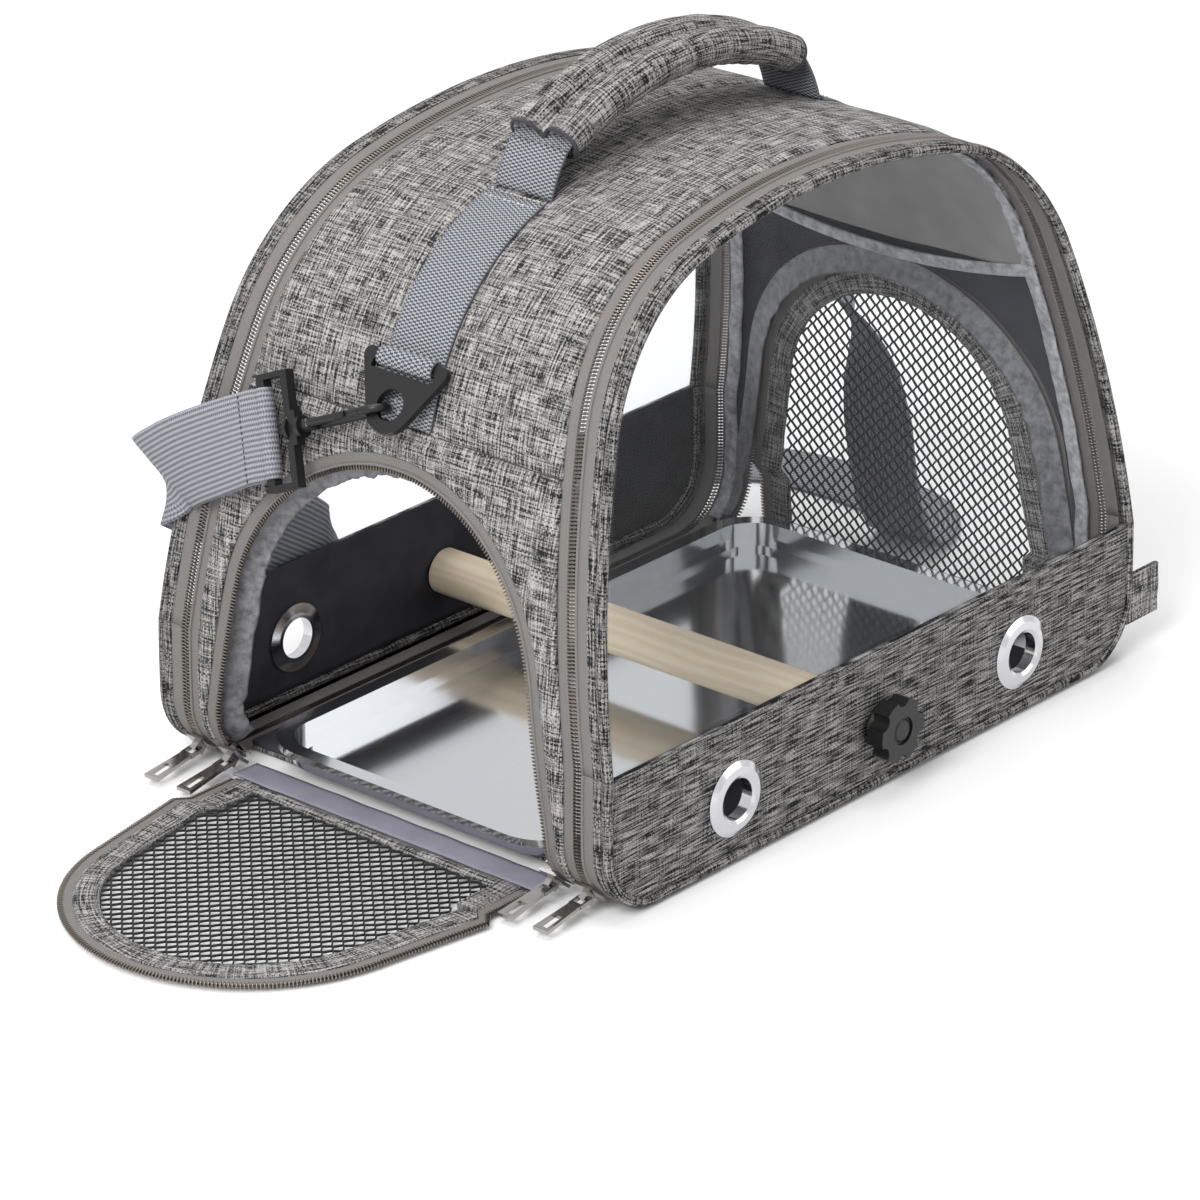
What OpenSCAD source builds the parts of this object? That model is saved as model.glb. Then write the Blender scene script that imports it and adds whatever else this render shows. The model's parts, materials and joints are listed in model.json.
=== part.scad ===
/* [Tunnel body] */
// Width of the clear face, end to end
body_w = 340; // [330:1:360]
// Height of the tunnel at its crown
body_h = 258; // [250:1:268]
// Depth at the floor, over both fabric bands
base_d = 243; // [236:1:260]
// Lean of each face above its band, in degrees
face_lean = 8.5; // [6:0.5:10]
// Radius of the rounded lower corners
corner_r = 30; // [26:1:34]
// Radius of the nearly straight sides
side_r = 445; // [420:5:480]
// Height where the sides start to curve in
side_z = 42; // [38:1:48]
// Radius of the shoulders
shoulder_r = 93; // [85:1:100]
// Radius of the crown
crown_r = 335; // [310:5:360]
// Thickness of the padded fabric shell
shell_t = 3.6; // [3:0.2:4.4]
// Thickness of the roof lining
lining_t = 0.8; // [0.6:0.1:1.2]
// Height of the seam between the roof and the end panels
seam_z = 172; // [168:1:176]

/* [Floor] */
// Thickness of the base fabric
base_t = 1.6; // [1.2:0.2:2.2]
// Thickness of the stiff base board
board_t = 2.4; // [2:0.2:3]
// Width of the tray across the carrier
tray_w = 162; // [150:1:163]
// Room between the tray's rim and each end of the tunnel
tray_room = 13; // [12:0.5:20]
// Height of the tray
tray_h = 12; // [10:0.5:16]
// Radius of the tray corners
tray_r = 24; // [18:1:30]
// Width of the tray rim
tray_rim = 7; // [5:0.5:9]
// Thickness of the tray sheet
tray_t = 0.8; // [0.6:0.1:1.2]

/* [Faces] */
// Height of each fabric band
band_h = 62; // [58:1:66]
// Thickness of the band fabric
band_t = 2; // [1.6:0.2:2.6]
// Width of the piping round each face
piping_w = 5; // [4:0.5:6]
// Thickness of the clear sheet
sheet_t = 0.8; // [0.6:0.1:1.2]
// Height of the perch, knobs and eyelets
perch_z = 28; // [26:1:32]
// Spread of the eyelets from the middle
eyelet_x = 92; // [84:1:98]
// Radius of an eyelet's flange
eyelet_r = 16; // [14:0.5:18]
// Radius of an eyelet's hole
eyelet_hole_r = 8.8; // [8:0.2:10]
// Radius of the perch
perch_r = 10; // [8:0.5:12]
// Radius across a knob's lobes
knob_r = 13.5; // [12:0.5:15]
// Radius of a knob's bolt
bolt_r = 3; // [2.5:0.25:3.5]
// Length of a knob's bolt inside the perch
bolt_l = 22; // [16:1:28]

/* [Zips] */
// Width of a zip's tape beside its chain
tape_w = 3.7; // [3.2:0.1:4.2]
// Thickness of the tape
tape_t = 1; // [0.8:0.1:1.2]
// Width of one half of the chain
chain_w = 2.2; // [2:0.1:2.6]
// Thickness of the chain
chain_t = 2.4; // [2:0.1:2.8]
// Lane between the two halves, where their teeth mesh
chain_gap = 2; // [1.8:0.1:2.2]
// Depth of a face's return, from its edge to the chain
return_d = 13; // [12:0.5:15]

/* [End doors] */
// Room between a door opening and each face at the floor
door_room = 33.5; // [31.5:0.5:37.5]
// Widening of a door opening from its arch to the floor
door_flare = 9; // [8:0.5:13]
// Height of the arch's centre
door_cz = 75; // [70:1:78]
// Thickness of a door
door_t = 3.2; // [2.8:0.2:3.4]
// Width of a door's bound edge
binding_w = 10; // [8:0.5:12]
// Distance of a door's hinge line in from the end of the tunnel
hinge_in = 2; // [0.5:0.5:3]
// Lean of a closed door, in degrees
door_lean = 5.3; // [4.8:0.1:6]
// Spacing of the net's strands
net_pitch = 11; // [10:0.5:14]
// Width of a net strand
net_strand = 1.5; // [1.2:0.1:2]

/* [Handle] */
// Place of the handle's middle
handle_x = 4; // [0:1:8]
// Radius of the handle's arch
handle_r = 150; // [140:2:160]
// Height of the handle's arch at its middle
handle_top = 286; // [282:1:294]
// Half of the angle that the sleeve covers
sleeve_a = 28; // [24:1:30]
// Radius of one ridge of the sleeve
sleeve_r = 9; // [8:0.5:10]
// Half of the distance between the handle's stitched ends
handle_half = 84; // [80:1:88]
// Width of the handle webbing
handle_w = 30; // [26:1:34]
// Thickness of all the webbing
web_t = 1.8; // [1.4:0.1:2.2]

/* [Shoulder strap] */
// Width of the shoulder strap
strap_w = 38; // [32:1:40]
// Height of the triangle rings' bars
ring_z = 196; // [192:1:200]
// Tilt of a ring away from the fabric, in degrees
ring_tilt = 14; // [10:1:16]
// Thickness of a ring
ring_t = 3; // [2.6:0.2:3.6]
// Radius of a ring's round hole
ring_hole_r = 6.5; // [6:0.25:7]
// Radius of a snap hook's bar
hook_wire_r = 1.8; // [1.6:0.1:2]
// Radius of a snap hook's bend
hook_bend_r = 5; // [4.8:0.1:5.6]
// Length of the shoulder pad
pad_l = 112; // [100:2:114]
// Width of the shoulder pad
pad_w = 56; // [52:1:60]
// Thickness of the shoulder pad
pad_t = 9; // [7:0.5:11]

/* [Hidden] */
$fn = 64;

// running clearance between pieces that move past each other
gap = 0.3;
// how far cuts run past a surface
over = 1;
heather = "#77777a";
charcoal = "#3c3c40";
tape_grey = "#7a746f";
chain_grey = "#8f8b86";
webbing_grey = "#8b8d93";
black = "#1c1c1e";
metal = "#c9cace";
wood = "#d8b98c";

// the outline's arcs: a gentle side arc, a shoulder arc and a crown arc, each tangent to the next
side_cx = body_w / 2 - side_r;
crown_cz = body_h - crown_r;
arc_a = side_r - shoulder_r;
arc_b = crown_r - shoulder_r;
arc_l = norm([-side_cx, crown_cz - side_z]);
arc_t = (arc_a * arc_a - arc_b * arc_b + arc_l * arc_l) / (2 * arc_l);
arc_h = sqrt(arc_a * arc_a - arc_t * arc_t);
arc_u = [-side_cx, crown_cz - side_z] / arc_l;
shoulder_c = [side_cx, side_z] + arc_u * arc_t + [-arc_u.y, arc_u.x] * arc_h;
side_dir = (shoulder_c - [side_cx, side_z]) / arc_a;
crown_dir = (shoulder_c - [0, crown_cz]) / arc_b;

floor_z = base_t + board_t;
face_y = base_d / 2;
door_half = face_y - door_room;
door_r = door_half - door_flare;
chain_d = return_d + chain_w + chain_gap / 2;
gusset_d = return_d + 2 * chain_w + chain_gap + tape_w;
hinge_z = floor_z - 0.2;
hinge_x = body_w / 2 - hinge_in;
tray_l = body_w - 2 * tray_room;
bay_w = 5.5;
bay_h = 28;

// width of the tunnel's side at height z, up to the shoulder
function side_x(z) = z < side_z ? body_w / 2 : side_cx + sqrt(side_r * side_r - pow(z - side_z, 2));
// height of the crown at place x
function crown_z(x) = crown_cz + sqrt(crown_r * crown_r - x * x);
// depth of a face at height z
function face_at(z) = face_y - max(0, z - band_h) * tan(face_lean);

// ---- shared outlines ----

module arch_outline(inset = 0) {
    far = 2 * shoulder_r;
    difference() {
        intersection() {
            for_arc(side_cx, side_z, side_r - inset);
            for_arc(-side_cx, side_z, side_r - inset);
            for_arc(0, crown_cz, crown_r - inset);
            translate([-body_w, side_z])
                square([2 * body_w, body_h]);
        }
        for (side = [-1, 1])
            polygon([for (p = [shoulder_c, shoulder_c + far * side_dir, shoulder_c + far * (side_dir + crown_dir),
                shoulder_c + far * crown_dir]) [side * p.x, p.y]]);
    }
    for (side = [-1, 1])
        for_arc(side * shoulder_c.x, shoulder_c.y, shoulder_r - inset);
    translate([-(body_w / 2 - inset), corner_r])
        square([body_w - 2 * inset, side_z - corner_r]);
    translate([-(body_w / 2 - corner_r), inset])
        square([body_w - 2 * corner_r, corner_r]);
    for (side = [-1, 1])
        for_arc(side * (body_w / 2 - corner_r), corner_r, corner_r - inset);
}

module for_arc(x, z, r) {
    translate([x, z])
        circle(r, $fn = 180);
}

module arch_ring(in0, in1) {
    rotate([90, 0, 0])
        translate([0, 0, -base_d])
            linear_extrude(2 * base_d)
                difference() {
                    arch_outline(in0);
                    arch_outline(in1);
                }
}

module arch_solid(inset) {
    rotate([90, 0, 0])
        translate([0, 0, -base_d])
            linear_extrude(2 * base_d)
                arch_outline(inset);
}

// the space between the two faces, set in by a depth, cut between two heights
module between_faces(depth, z0, z1) {
    y0 = face_at(z0) - depth;
    ym = face_at(max(z0, min(z1, band_h))) - depth;
    y1 = face_at(z1) - depth;
    zm = max(z0, min(z1, band_h));
    rotate([90, 0, 90])
        translate([0, 0, -body_w])
            linear_extrude(2 * body_w)
                polygon([[-y0, z0], [y0, z0], [ym, zm], [y1, z1], [-y1, z1], [-ym, zm]]);
}

// one layer that follows the front face (side -1) or the back face (side 1)
module face_layer(side, d0, d1, z0, z1) {
    y0 = face_at(z0);
    y1 = face_at(z1);
    zm = max(z0, min(z1, band_h));
    ym = face_at(zm);
    rotate([90, 0, 90])
        translate([0, 0, -body_w])
            linear_extrude(2 * body_w)
                polygon([[side * (y0 - d0), z0], [side * (ym - d0), zm], [side * (y1 - d0), z1],
                    [side * (y1 - d1), z1], [side * (ym - d1), zm], [side * (y0 - d1), z0]]);
}

module face_ring(side, in0, in1, d0, d1, z0, z1) {
    intersection() {
        arch_ring(in0, in1);
        face_layer(side, d0, d1, z0, z1);
    }
}

top_z = body_h + 2;
// where the side line from the vertex runs into the arch, just short of tangent
function door_touch(inset) =
    let (r = door_r - inset, dx = door_half - inset, dz = door_cz - corner_r, l = norm([dx, dz]),
        a = atan2(-dz, dx) + acos(r / l) + 3)
    (r - 0.15) * [cos(a), sin(a)] + [0, door_cz];

module door_outline(inset, bottom) {
    touch = door_touch(inset);
    half = door_half - inset;
    translate([0, door_cz])
        circle(door_r - inset, $fn = 128);
    polygon([[-half, bottom], [half, bottom], [half, corner_r], touch, [-touch.x, touch.y], [-half, corner_r]]);
}

// the door outline run along the carrier through one end
module door_prism(side, inset, bottom) {
    translate([side > 0 ? 0 : -body_w, 0, 0])
        rotate([90, 0, 90])
            linear_extrude(body_w)
                difference() {
                    door_outline(inset, bottom);
                    translate([-body_w / 2, -body_w])
                        square([body_w, body_w + bottom]);
                }
}

// ---- tunnel ----

module base_panel() {
    flat = body_w - 2 * corner_r;
    color(heather)
        translate([-flat / 2, -face_y + gusset_d, 0])
            cube([flat, base_d - 2 * gusset_d, base_t]);
}

module base_board() {
    flat = body_w - 2 * corner_r - 1;
    color(charcoal)
        translate([-flat / 2, -face_y + gusset_d, base_t])
            cube([flat, base_d - 2 * gusset_d, board_t]);
}

module upper_gusset() {
    color(heather)
        intersection() {
            arch_ring(0, shell_t);
            between_faces(gusset_d, seam_z, top_z);
        }
}

module roof_lining() {
    color(charcoal)
        intersection() {
            arch_ring(shell_t, shell_t + lining_t);
            between_faces(gusset_d, seam_z, top_z);
        }
}

module end_panel(side) {
    inner = body_w / 2 - corner_r;
    color(heather)
        difference() {
            intersection() {
                arch_ring(0, shell_t);
                between_faces(gusset_d, 0, seam_z);
                translate([side > 0 ? inner : -body_w, -base_d, -over])
                    cube([body_w - inner, 2 * base_d, body_h]);
            }
            door_prism(side, -tape_w - chain_w, floor_z);
        }
}

module sill_strips() {
    color("#a3a1b0")
        difference() {
            for (side = [-1, 1])
                translate([side > 0 ? body_w / 2 - corner_r + 12 : -hinge_x + gap / 2, -door_half + bay_w, hinge_z - 0.7])
                    cube([hinge_x - gap / 2 - (body_w / 2 - corner_r + 12), 2 * (door_half - bay_w), 0.7]);
            arch_solid(0);
        }
}

// ---- zips round the faces ----

module gusset_zip(side) {
    color(tape_grey) {
        face_ring(side, chain_t / 2 - tape_t / 2, chain_t / 2 + tape_t / 2,
            gusset_d - tape_w, gusset_d, 0, top_z);
        face_ring(side, 0, chain_t, gusset_d - tape_w - chain_w, gusset_d - tape_w, 0, top_z);
    }
}

module panel_zip(side, z0, z1) {
    face_ring(side, chain_t / 2 - tape_t / 2, chain_t / 2 + tape_t / 2, piping_w, return_d, z0, z1);
    face_ring(side, 0, chain_t, return_d, return_d + chain_w, z0, z1);
}

// ---- fabric bands ----

module band_holes() {
    for (x = [-eyelet_x, eyelet_x])
        translate([x, 0, perch_z])
            rotate([90, 0, 0])
                cylinder(r = eyelet_hole_r + 1.2, h = 3 * base_d, center = true);
    translate([0, 0, perch_z])
        rotate([90, 0, 0])
            cylinder(r = bolt_r + 0.5, h = 3 * base_d, center = true);
}

module band(side) {
    color(heather)
        difference() {
            intersection() {
                arch_solid(piping_w);
                face_layer(side, 1, 1 + band_t, 0, band_h);
            }
            band_holes();
        }
}

module band_linings() {
    color(charcoal)
        difference() {
            intersection() {
                arch_solid(piping_w);
                union()
                    for (side = [-1, 1])
                        face_layer(side, 1 + band_t, 1 + band_t + lining_t, 0, band_h);
            }
            band_holes();
        }
}

module band_piping(side) {
    color(heather) {
        face_ring(side, 0, piping_w, 0, piping_w, 0, band_h);
        panel_zip(side, 0, band_h);
    }
}

// inner face of a band's lining
band_in = face_y - 1 - band_t - lining_t;

module eyelets() {
    color(metal)
        for (side = [-1, 1], x = [-eyelet_x, eyelet_x])
            translate([x, side * (face_y - 1), perch_z])
                rotate([side * -90, 0, 0])
                    rotate_extrude()
                        polygon([[eyelet_hole_r, -(band_t + lining_t + 1)], [eyelet_hole_r, 1.1],
                            [eyelet_hole_r + 1.5, 1.9], [eyelet_r - 2.5, 1.5], [eyelet_r, 0.2], [eyelet_r, 0],
                            [eyelet_hole_r + 1, 0], [eyelet_hole_r + 1, -(band_t + lining_t + 1)]]);
}

module eyelet_washers() {
    color(metal)
        for (side = [-1, 1], x = [-eyelet_x, eyelet_x])
            translate([x, side * band_in, perch_z])
                rotate([side * 90, 0, 0])
                    rotate_extrude()
                        polygon([[eyelet_hole_r + 1, 0], [eyelet_r - 1, 0], [eyelet_r - 1, 0.3],
                            [eyelet_hole_r + 2, 1], [eyelet_hole_r + 1, 1]]);
}

module perch() {
    color(wood)
        translate([0, 0, perch_z])
            rotate([90, 0, 0])
                difference() {
                    cylinder(r = perch_r, h = 2 * band_in - 0.2, center = true);
                    for (side = [-1, 1])
                        translate([0, 0, side * (band_in - bolt_l / 2)])
                            cylinder(r = bolt_r + 0.05, h = bolt_l + 2, center = true);
                }
}

// star knob with six lobes, its collar against the band and its bolt in the perch
module knob(side) {
    lobes = 6;
    lobe_r = 3.6;
    color(black)
        translate([0, side * (face_y - 1 + gap), perch_z])
            rotate([side * -90, 0, 0]) {
                difference() {
                    translate([0, 0, 3])
                        linear_extrude(8)
                            difference() {
                                circle(knob_r);
                                for (i = [0:lobes - 1])
                                    rotate(60 * i + 30)
                                        translate([knob_r + 1, 0])
                                            circle(lobe_r);
                            }
                    translate([0, 0, 10])
                        cylinder(r = 6, h = 2);
                }
                translate([0, 0, 10])
                    cylinder(r1 = 5, r2 = 4, h = 0.8);
                cylinder(r1 = 9, r2 = 7, h = 3);
            }
    color(metal)
        translate([0, side * (face_y - 1 + gap), perch_z])
            rotate([side * 90, 0, 0])
                cylinder(r = bolt_r, h = bolt_l);
}

// ---- tray ----

module rounded_plate(l, w, r, h) {
    linear_extrude(h)
        rounded_shape(l, w, r);
}

module rounded_shape(l, w, r) {
    square([l - 2 * r, w], center = true);
    square([l, w - 2 * r], center = true);
    for (x = [-1, 1], y = [-1, 1])
        translate([x * (l / 2 - r), y * (w / 2 - r)])
            circle(r);
}

module tray() {
    inner_l = tray_l - 2 * tray_rim;
    inner_w = tray_w - 2 * tray_rim;
    inner_r = tray_r - tray_rim;
    foot = 8;
    color(metal)
        translate([0, 0, floor_z + gap]) {
            difference() {
                translate([0, 0, tray_h - tray_t])
                    rounded_plate(tray_l, tray_w, tray_r, tray_t);
                translate([0, 0, tray_h - tray_t - over])
                    rounded_plate(inner_l, inner_w, inner_r, tray_t + 2 * over);
            }
            difference() {
                translate([0, 0, tray_h - 3])
                    rounded_plate(tray_l, tray_w, tray_r, 3);
                translate([0, 0, tray_h - 3 - over])
                    rounded_plate(tray_l - 2 * tray_t, tray_w - 2 * tray_t, tray_r - tray_t, 3 + 2 * over);
            }
            difference() {
                translate([0, 0, 3])
                    rounded_plate(inner_l + 2 * tray_t, inner_w + 2 * tray_t, inner_r + tray_t, tray_h - 3);
                translate([0, 0, 3 - over])
                    rounded_plate(inner_l, inner_w, inner_r, tray_h);
            }
            difference() {
                translate([0, 0, 3 - tray_t])
                    rounded_plate(inner_l + 2 * tray_t, inner_w + 2 * tray_t, inner_r + tray_t, tray_t);
                translate([0, 0, -over])
                    rounded_plate(inner_l - foot, inner_w - foot, inner_r - foot / 2, tray_h);
            }
            difference() {
                rounded_plate(inner_l - foot + 2 * tray_t, inner_w - foot + 2 * tray_t,
                    inner_r - foot / 2 + tray_t, 3);
                translate([0, 0, tray_t])
                    rounded_plate(inner_l - foot, inner_w - foot, inner_r - foot / 2, tray_h);
            }
        }
}

// ---- clear windows ----

// a window starts just above its band, where it folds down
window_z = band_h + gap;

module window_sheet(side) {
    color([0.85, 0.9, 0.95, 0.35])
        intersection() {
            arch_solid(piping_w);
            face_layer(side, 2, 2 + sheet_t, window_z, top_z);
        }
}

module window_piping(side) {
    color(heather)
        face_ring(side, 0, piping_w, 0, piping_w, window_z, top_z);
}

module window_zip(side) {
    color(tape_grey)
        panel_zip(side, window_z, top_z);
}

// ---- end doors ----

module opening_zip(side) {
    mid = chain_t / 2;
    color(tape_grey) {
        intersection() {
            arch_ring(mid - tape_t / 2, mid + tape_t / 2);
            opening_ring(side, -tape_w - chain_w, -chain_w / 2);
        }
        intersection() {
            arch_ring(0, chain_t);
            opening_ring(side, -chain_w, 0);
        }
    }
}

module opening_ring(side, in0, in1) {
    start = body_w / 2 - corner_r + 8;
    translate([side > 0 ? start : -body_w / 2 - 5, 0, 0])
        rotate([90, 0, 90])
            linear_extrude(body_w / 2 + 5 - start)
                difference() {
                    door_outline(in0, floor_z);
                    door_outline(in1, floor_z - over);
                    translate([-body_w / 2, floor_z - body_w])
                        square([body_w, body_w]);
                }
}

module opening_bindings() {
    color("#8c8c8e")
        for (side = [-1, 1])
            intersection() {
                arch_ring(shell_t, shell_t + lining_t);
                opening_ring(side, -binding_w, 0);
            }
}

// the door's outline measured from its hinge line, with bays for the parked sliders
module door_shape(inset) {
    shift = hinge_z;
    difference() {
        translate([0, -shift])
            door_outline(chain_gap + inset, shift);
        translate([-body_w / 2, -body_w + gap / 2])
            square([body_w, body_w]);
        for (side = [-1, 1])
            translate([side * (door_half - chain_gap - bay_w) - (side < 0 ? bay_w + 40 : 0), -40])
                square([bay_w + 40, bay_h + 40]);
    }
}

// places a piece drawn flat, hinge line on the X axis and rising in Y, onto the left or right door
module on_door(side) {
    if (side < 0)
        translate([-hinge_x, 0, hinge_z])
            rotate([0, 0, 90])
                children();
    else
        translate([hinge_x, 0, hinge_z])
            rotate([0, -90 - door_lean, 0])
                rotate([0, 0, -90])
                    children();
}

module door_ring(in0, in1, t0, t1) {
    translate([0, 0, -t1])
        linear_extrude(t1 - t0)
            difference() {
                door_shape(in0);
                door_shape(in1);
            }
}

module door_zip(side) {
    mid = door_t / 2;
    color(tape_grey)
        on_door(side) {
            door_ring(0, chain_w, mid - chain_t / 2, mid + chain_t / 2);
            door_ring(chain_w, chain_w + tape_w, mid - tape_t / 2, mid + tape_t / 2);
        }
}

module door_binding(side) {
    edge = chain_w + tape_w;
    hem = 6;
    color(heather)
        on_door(side)
            difference() {
                translate([0, 0, -door_t])
                    linear_extrude(door_t)
                        difference() {
                            door_shape(edge);
                            intersection() {
                                door_shape(edge + binding_w);
                                translate([-body_w, hem])
                                    square([2 * body_w, body_w]);
                            }
                        }
                translate([0, 0, -door_t / 2 - 0.5])
                    linear_extrude(1)
                        net_area();
            }
}

// the net reaches a little way into the binding that holds it
module net_area() {
    tuck = 3;
    intersection() {
        door_shape(chain_w + tape_w + binding_w - tuck);
        translate([-body_w, 3])
            square([2 * body_w, body_w]);
    }
}

module door_net(side) {
    cols = ceil(door_half / net_pitch);
    rows = ceil(door_r * 2 / net_pitch) + 1;
    cell = (net_pitch - net_strand) / 2;
    inner = chain_w + tape_w + binding_w;
    color(black)
        on_door(side)
            translate([0, 0, -door_t / 2 - 0.5])
                linear_extrude(1)
                    difference() {
                        net_area();
                        for (i = [-2 * cols:2 * cols], j = [0:2 * rows])
                            if ((i + j) % 2 == 0 && net_open(i * net_pitch / 2, 10 + j * net_pitch / 2, inner))
                                translate([i * net_pitch / 2, 10 + j * net_pitch / 2])
                                    polygon([[-cell, 0], [0, -cell], [cell, 0], [0, cell]]);
                    }
}

// true where a cell lies wholly inside the binding
function net_open(x, y, inset) =
    let (r = door_r - chain_gap - inset - net_pitch / 2, z = y + hinge_z,
        half = door_half - chain_gap - inset - net_pitch / 2 - max(bay_h + net_pitch - y > 0 ? bay_w : 0, 0))
    z > door_cz ? norm([x, z - door_cz]) < r : abs(x) < min(half, sqrt(r * r) + (door_cz - z) * 0.12);

// ---- zip sliders and pulls ----

// a slider rides round a lower corner, so it is drawn round the corner's axis
slider_a = 46;
slider_span = 21;
slider_w = 9;

module corner_axis(side, y) {
    translate([side * (body_w / 2 - corner_r), y, corner_r])
        rotate([90, 0, 0])
            children();
}

module arc_plate(side, r0, r1, w, a0, a1) {
    start = side < 0 ? 270 - a1 : 270 + a0;
    rotate([0, 0, start])
        rotate_extrude(angle = a1 - a0)
            translate([r0, -w / 2])
                square([r1 - r0, w]);
}

module slider(side, y) {
    a0 = slider_a - slider_span / 2;
    a1 = slider_a + slider_span / 2;
    post_w = chain_gap - 0.6;
    color(metal)
        corner_axis(side, y) {
            arc_plate(side, corner_r + 0.25, corner_r + 1.6, slider_w, a0, a1);
            arc_plate(side, corner_r - shell_t + gap, corner_r - chain_t - gap, slider_w - 1, a0, a1);
            arc_plate(side, corner_r - shell_t + gap, corner_r + 1.6, post_w, slider_a + 3, a1 - 1);
            difference() {
                arc_plate(side, corner_r + 1.6, corner_r + 5.2, 3, slider_a - 5, slider_a + 5);
                pin_place(side)
                    cylinder(r = 1, h = 10, center = true);
            }
        }
}

// the pull's pin passes through the slider's bridge
module pin_place(side) {
    a = side < 0 ? 270 - slider_a : 270 + slider_a;
    rotate([0, 0, a])
        translate([corner_r + 3.4, 0, 0])
            children();
}

pull_drop = 8;
pull_w = 7.6;
pull_l = 26;

module pull(side, y) {
    window_l = 9;
    pin = [side * (body_w / 2 - corner_r + (corner_r + 3.4) * sin(slider_a)), y,
        corner_r - (corner_r + 3.4) * cos(slider_a)];
    color(metal)
        translate(pin)
            rotate([0, side < 0 ? -pull_drop : pull_drop, 0])
                scale_side(side) {
                    rotate([90, 0, 0])
                        cylinder(r = 0.9, h = 5.4, center = true);
                    for (s = [-1, 1])
                        translate([0, s * 2.6 - 0.6, -0.8])
                            cube([7, 1.2, 1.6]);
                    translate([5.5, 0, -0.8])
                        linear_extrude(1.6)
                            difference() {
                                polygon([[0, -2.8], [3, -2.8], [pull_l - 4, -pull_w / 2], [pull_l - 4, pull_w / 2],
                                    [3, 2.8], [0, 2.8]]);
                                translate([pull_l - 6 - window_l, -pull_w / 4])
                                    square([window_l, pull_w / 2]);
                            }
                }
}

module scale_side(side) {
    if (side < 0)
        mirror([1, 0, 0])
            children();
    else
        children();
}

face_slider_y = face_y - chain_d;
door_slider_y = door_half - chain_gap / 2;

// ---- handle ----

module handle_sweep(a0, a1) {
    translate([handle_x, 0, handle_top - handle_r])
        rotate([90, 0, 0])
            rotate([0, 0, 90 + a0])
                rotate_extrude(angle = a1 - a0)
                    children();
}

module handle_webbing() {
    end_a = sleeve_a + 1.5;
    color(webbing_grey) {
        handle_sweep(-end_a, end_a)
            translate([handle_r - web_t / 2, -handle_w / 2])
                square([web_t, handle_w]);
        for (side = [-1, 1])
            rotate([90, 0, 0])
                linear_extrude(handle_w - 0.6, center = true)
                    polygon(handle_leg(side, end_a - 1));
    }
}

// one leg of the handle, from the end of its arch down to its stitched foot on the crown
function handle_leg(side, a) =
    let (c = [handle_x, handle_top - handle_r], dir = [side * sin(a), cos(a)],
        x = handle_x + side * handle_half, z = crown_z(abs(x) - web_t) + gap,
        p = c + (handle_r + 0.4 * web_t) * dir, q = c + (handle_r - 0.4 * web_t) * dir)
    [p, q, [x - side * web_t, z + web_t + 1], [x - side * web_t, z], [x, z], [x + side * 0.2, z + web_t + 2]];

module handle_sleeve() {
    color(heather)
        handle_sweep(-sleeve_a, sleeve_a)
            translate([handle_r, 0])
                difference() {
                    union() {
                        for (side = [-1, 1])
                            translate([0, side * (sleeve_r + 0.6)])
                                circle(sleeve_r);
                        square([sleeve_r * 1.1, sleeve_r * 2], center = true);
                    }
                    square([web_t + 0.4, handle_w + 0.4], center = true);
                }
}

module side_webbing() {
    color(webbing_grey)
        for (side = [-1, 1]) {
            edge = handle_x + side * (handle_half + 1);
            intersection() {
                arch_ring(-web_t, 0);
                translate([side > 0 ? edge : -body_w, -handle_w / 2, seam_z])
                    cube([body_w - side * edge, handle_w, body_h]);
            }
            on_ring(side)
                translate([0, 0, bar_mid])
                    web_loop(ring_t / 2, 2.4, handle_w - 1);
        }
}

// webbing sewn round a bar that runs along Y
module web_loop(half_x, half_z, w) {
    play = 0.25;
    rotate([90, 0, 0])
        linear_extrude(w, center = true)
            difference() {
                rounded_shape(2 * (half_x + play + web_t), 2 * (half_z + play + web_t), web_t);
                square([2 * (half_x + play), 2 * (half_z + play)], center = true);
            }
}

// ---- rings, hooks and strap ----

ring_p = [side_x(ring_z - 10), ring_z - 10];
ring_lean = asin((ring_p.y - side_z) / side_r);

// puts a piece on an end panel: X out of the fabric, Y along the carrier's depth, Z up the fabric
module on_end(side) {
    scale_side(side)
        translate([ring_p.x, 0, ring_p.y])
            rotate([0, -ring_lean, 0])
                children();
}

// outline between two round ends, tangent to both
module taper(p, rp, q, rq) {
    d = q - p;
    l = norm(d);
    base = atan2(d.y, d.x);
    a = acos((rp - rq) / l);
    translate(p)
        circle(rp);
    translate(q)
        circle(rq);
    polygon([p + rp * [cos(base + a), sin(base + a)], p + rp * [cos(base - a), sin(base - a)],
        q + rq * [cos(base - a), sin(base - a)], q + rq * [cos(base + a), sin(base + a)]]);
}

ring_bar = [web_t + 3.4, 10];
ring_drop = 17;
ring_web = 5;
// middle of the bar, above the slot that the webbing passes through
bar_mid = 1;

module on_ring(side) {
    on_end(side)
        translate([ring_bar.x, 0, ring_bar.y])
            rotate([0, -ring_tilt, 0])
                children();
}

module ring(side) {
    half = strap_w / 2 - 1;
    apex_r = ring_hole_r + ring_web;
    color(black)
        on_ring(side)
            rotate([90, 0, 90])
                translate([0, 0, -ring_t / 2])
                    linear_extrude(ring_t)
                        difference() {
                            union() {
                                taper([-half, 0], 3.4, [half, 0], 3.4);
                                taper([-half, 0], 3.4, [0, -ring_drop], apex_r);
                                taper([half, 0], 3.4, [0, -ring_drop], apex_r);
                                polygon([[-half, 0], [half, 0], [0, -ring_drop]]);
                            }
                            translate([0, -ring_drop])
                                circle(ring_hole_r);
                            translate([-handle_w / 2 - 1, -4.6])
                                square([handle_w + 2, 3.2]);
                        }
}

hook_angle = 24;
hook_straight = 30;
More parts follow.
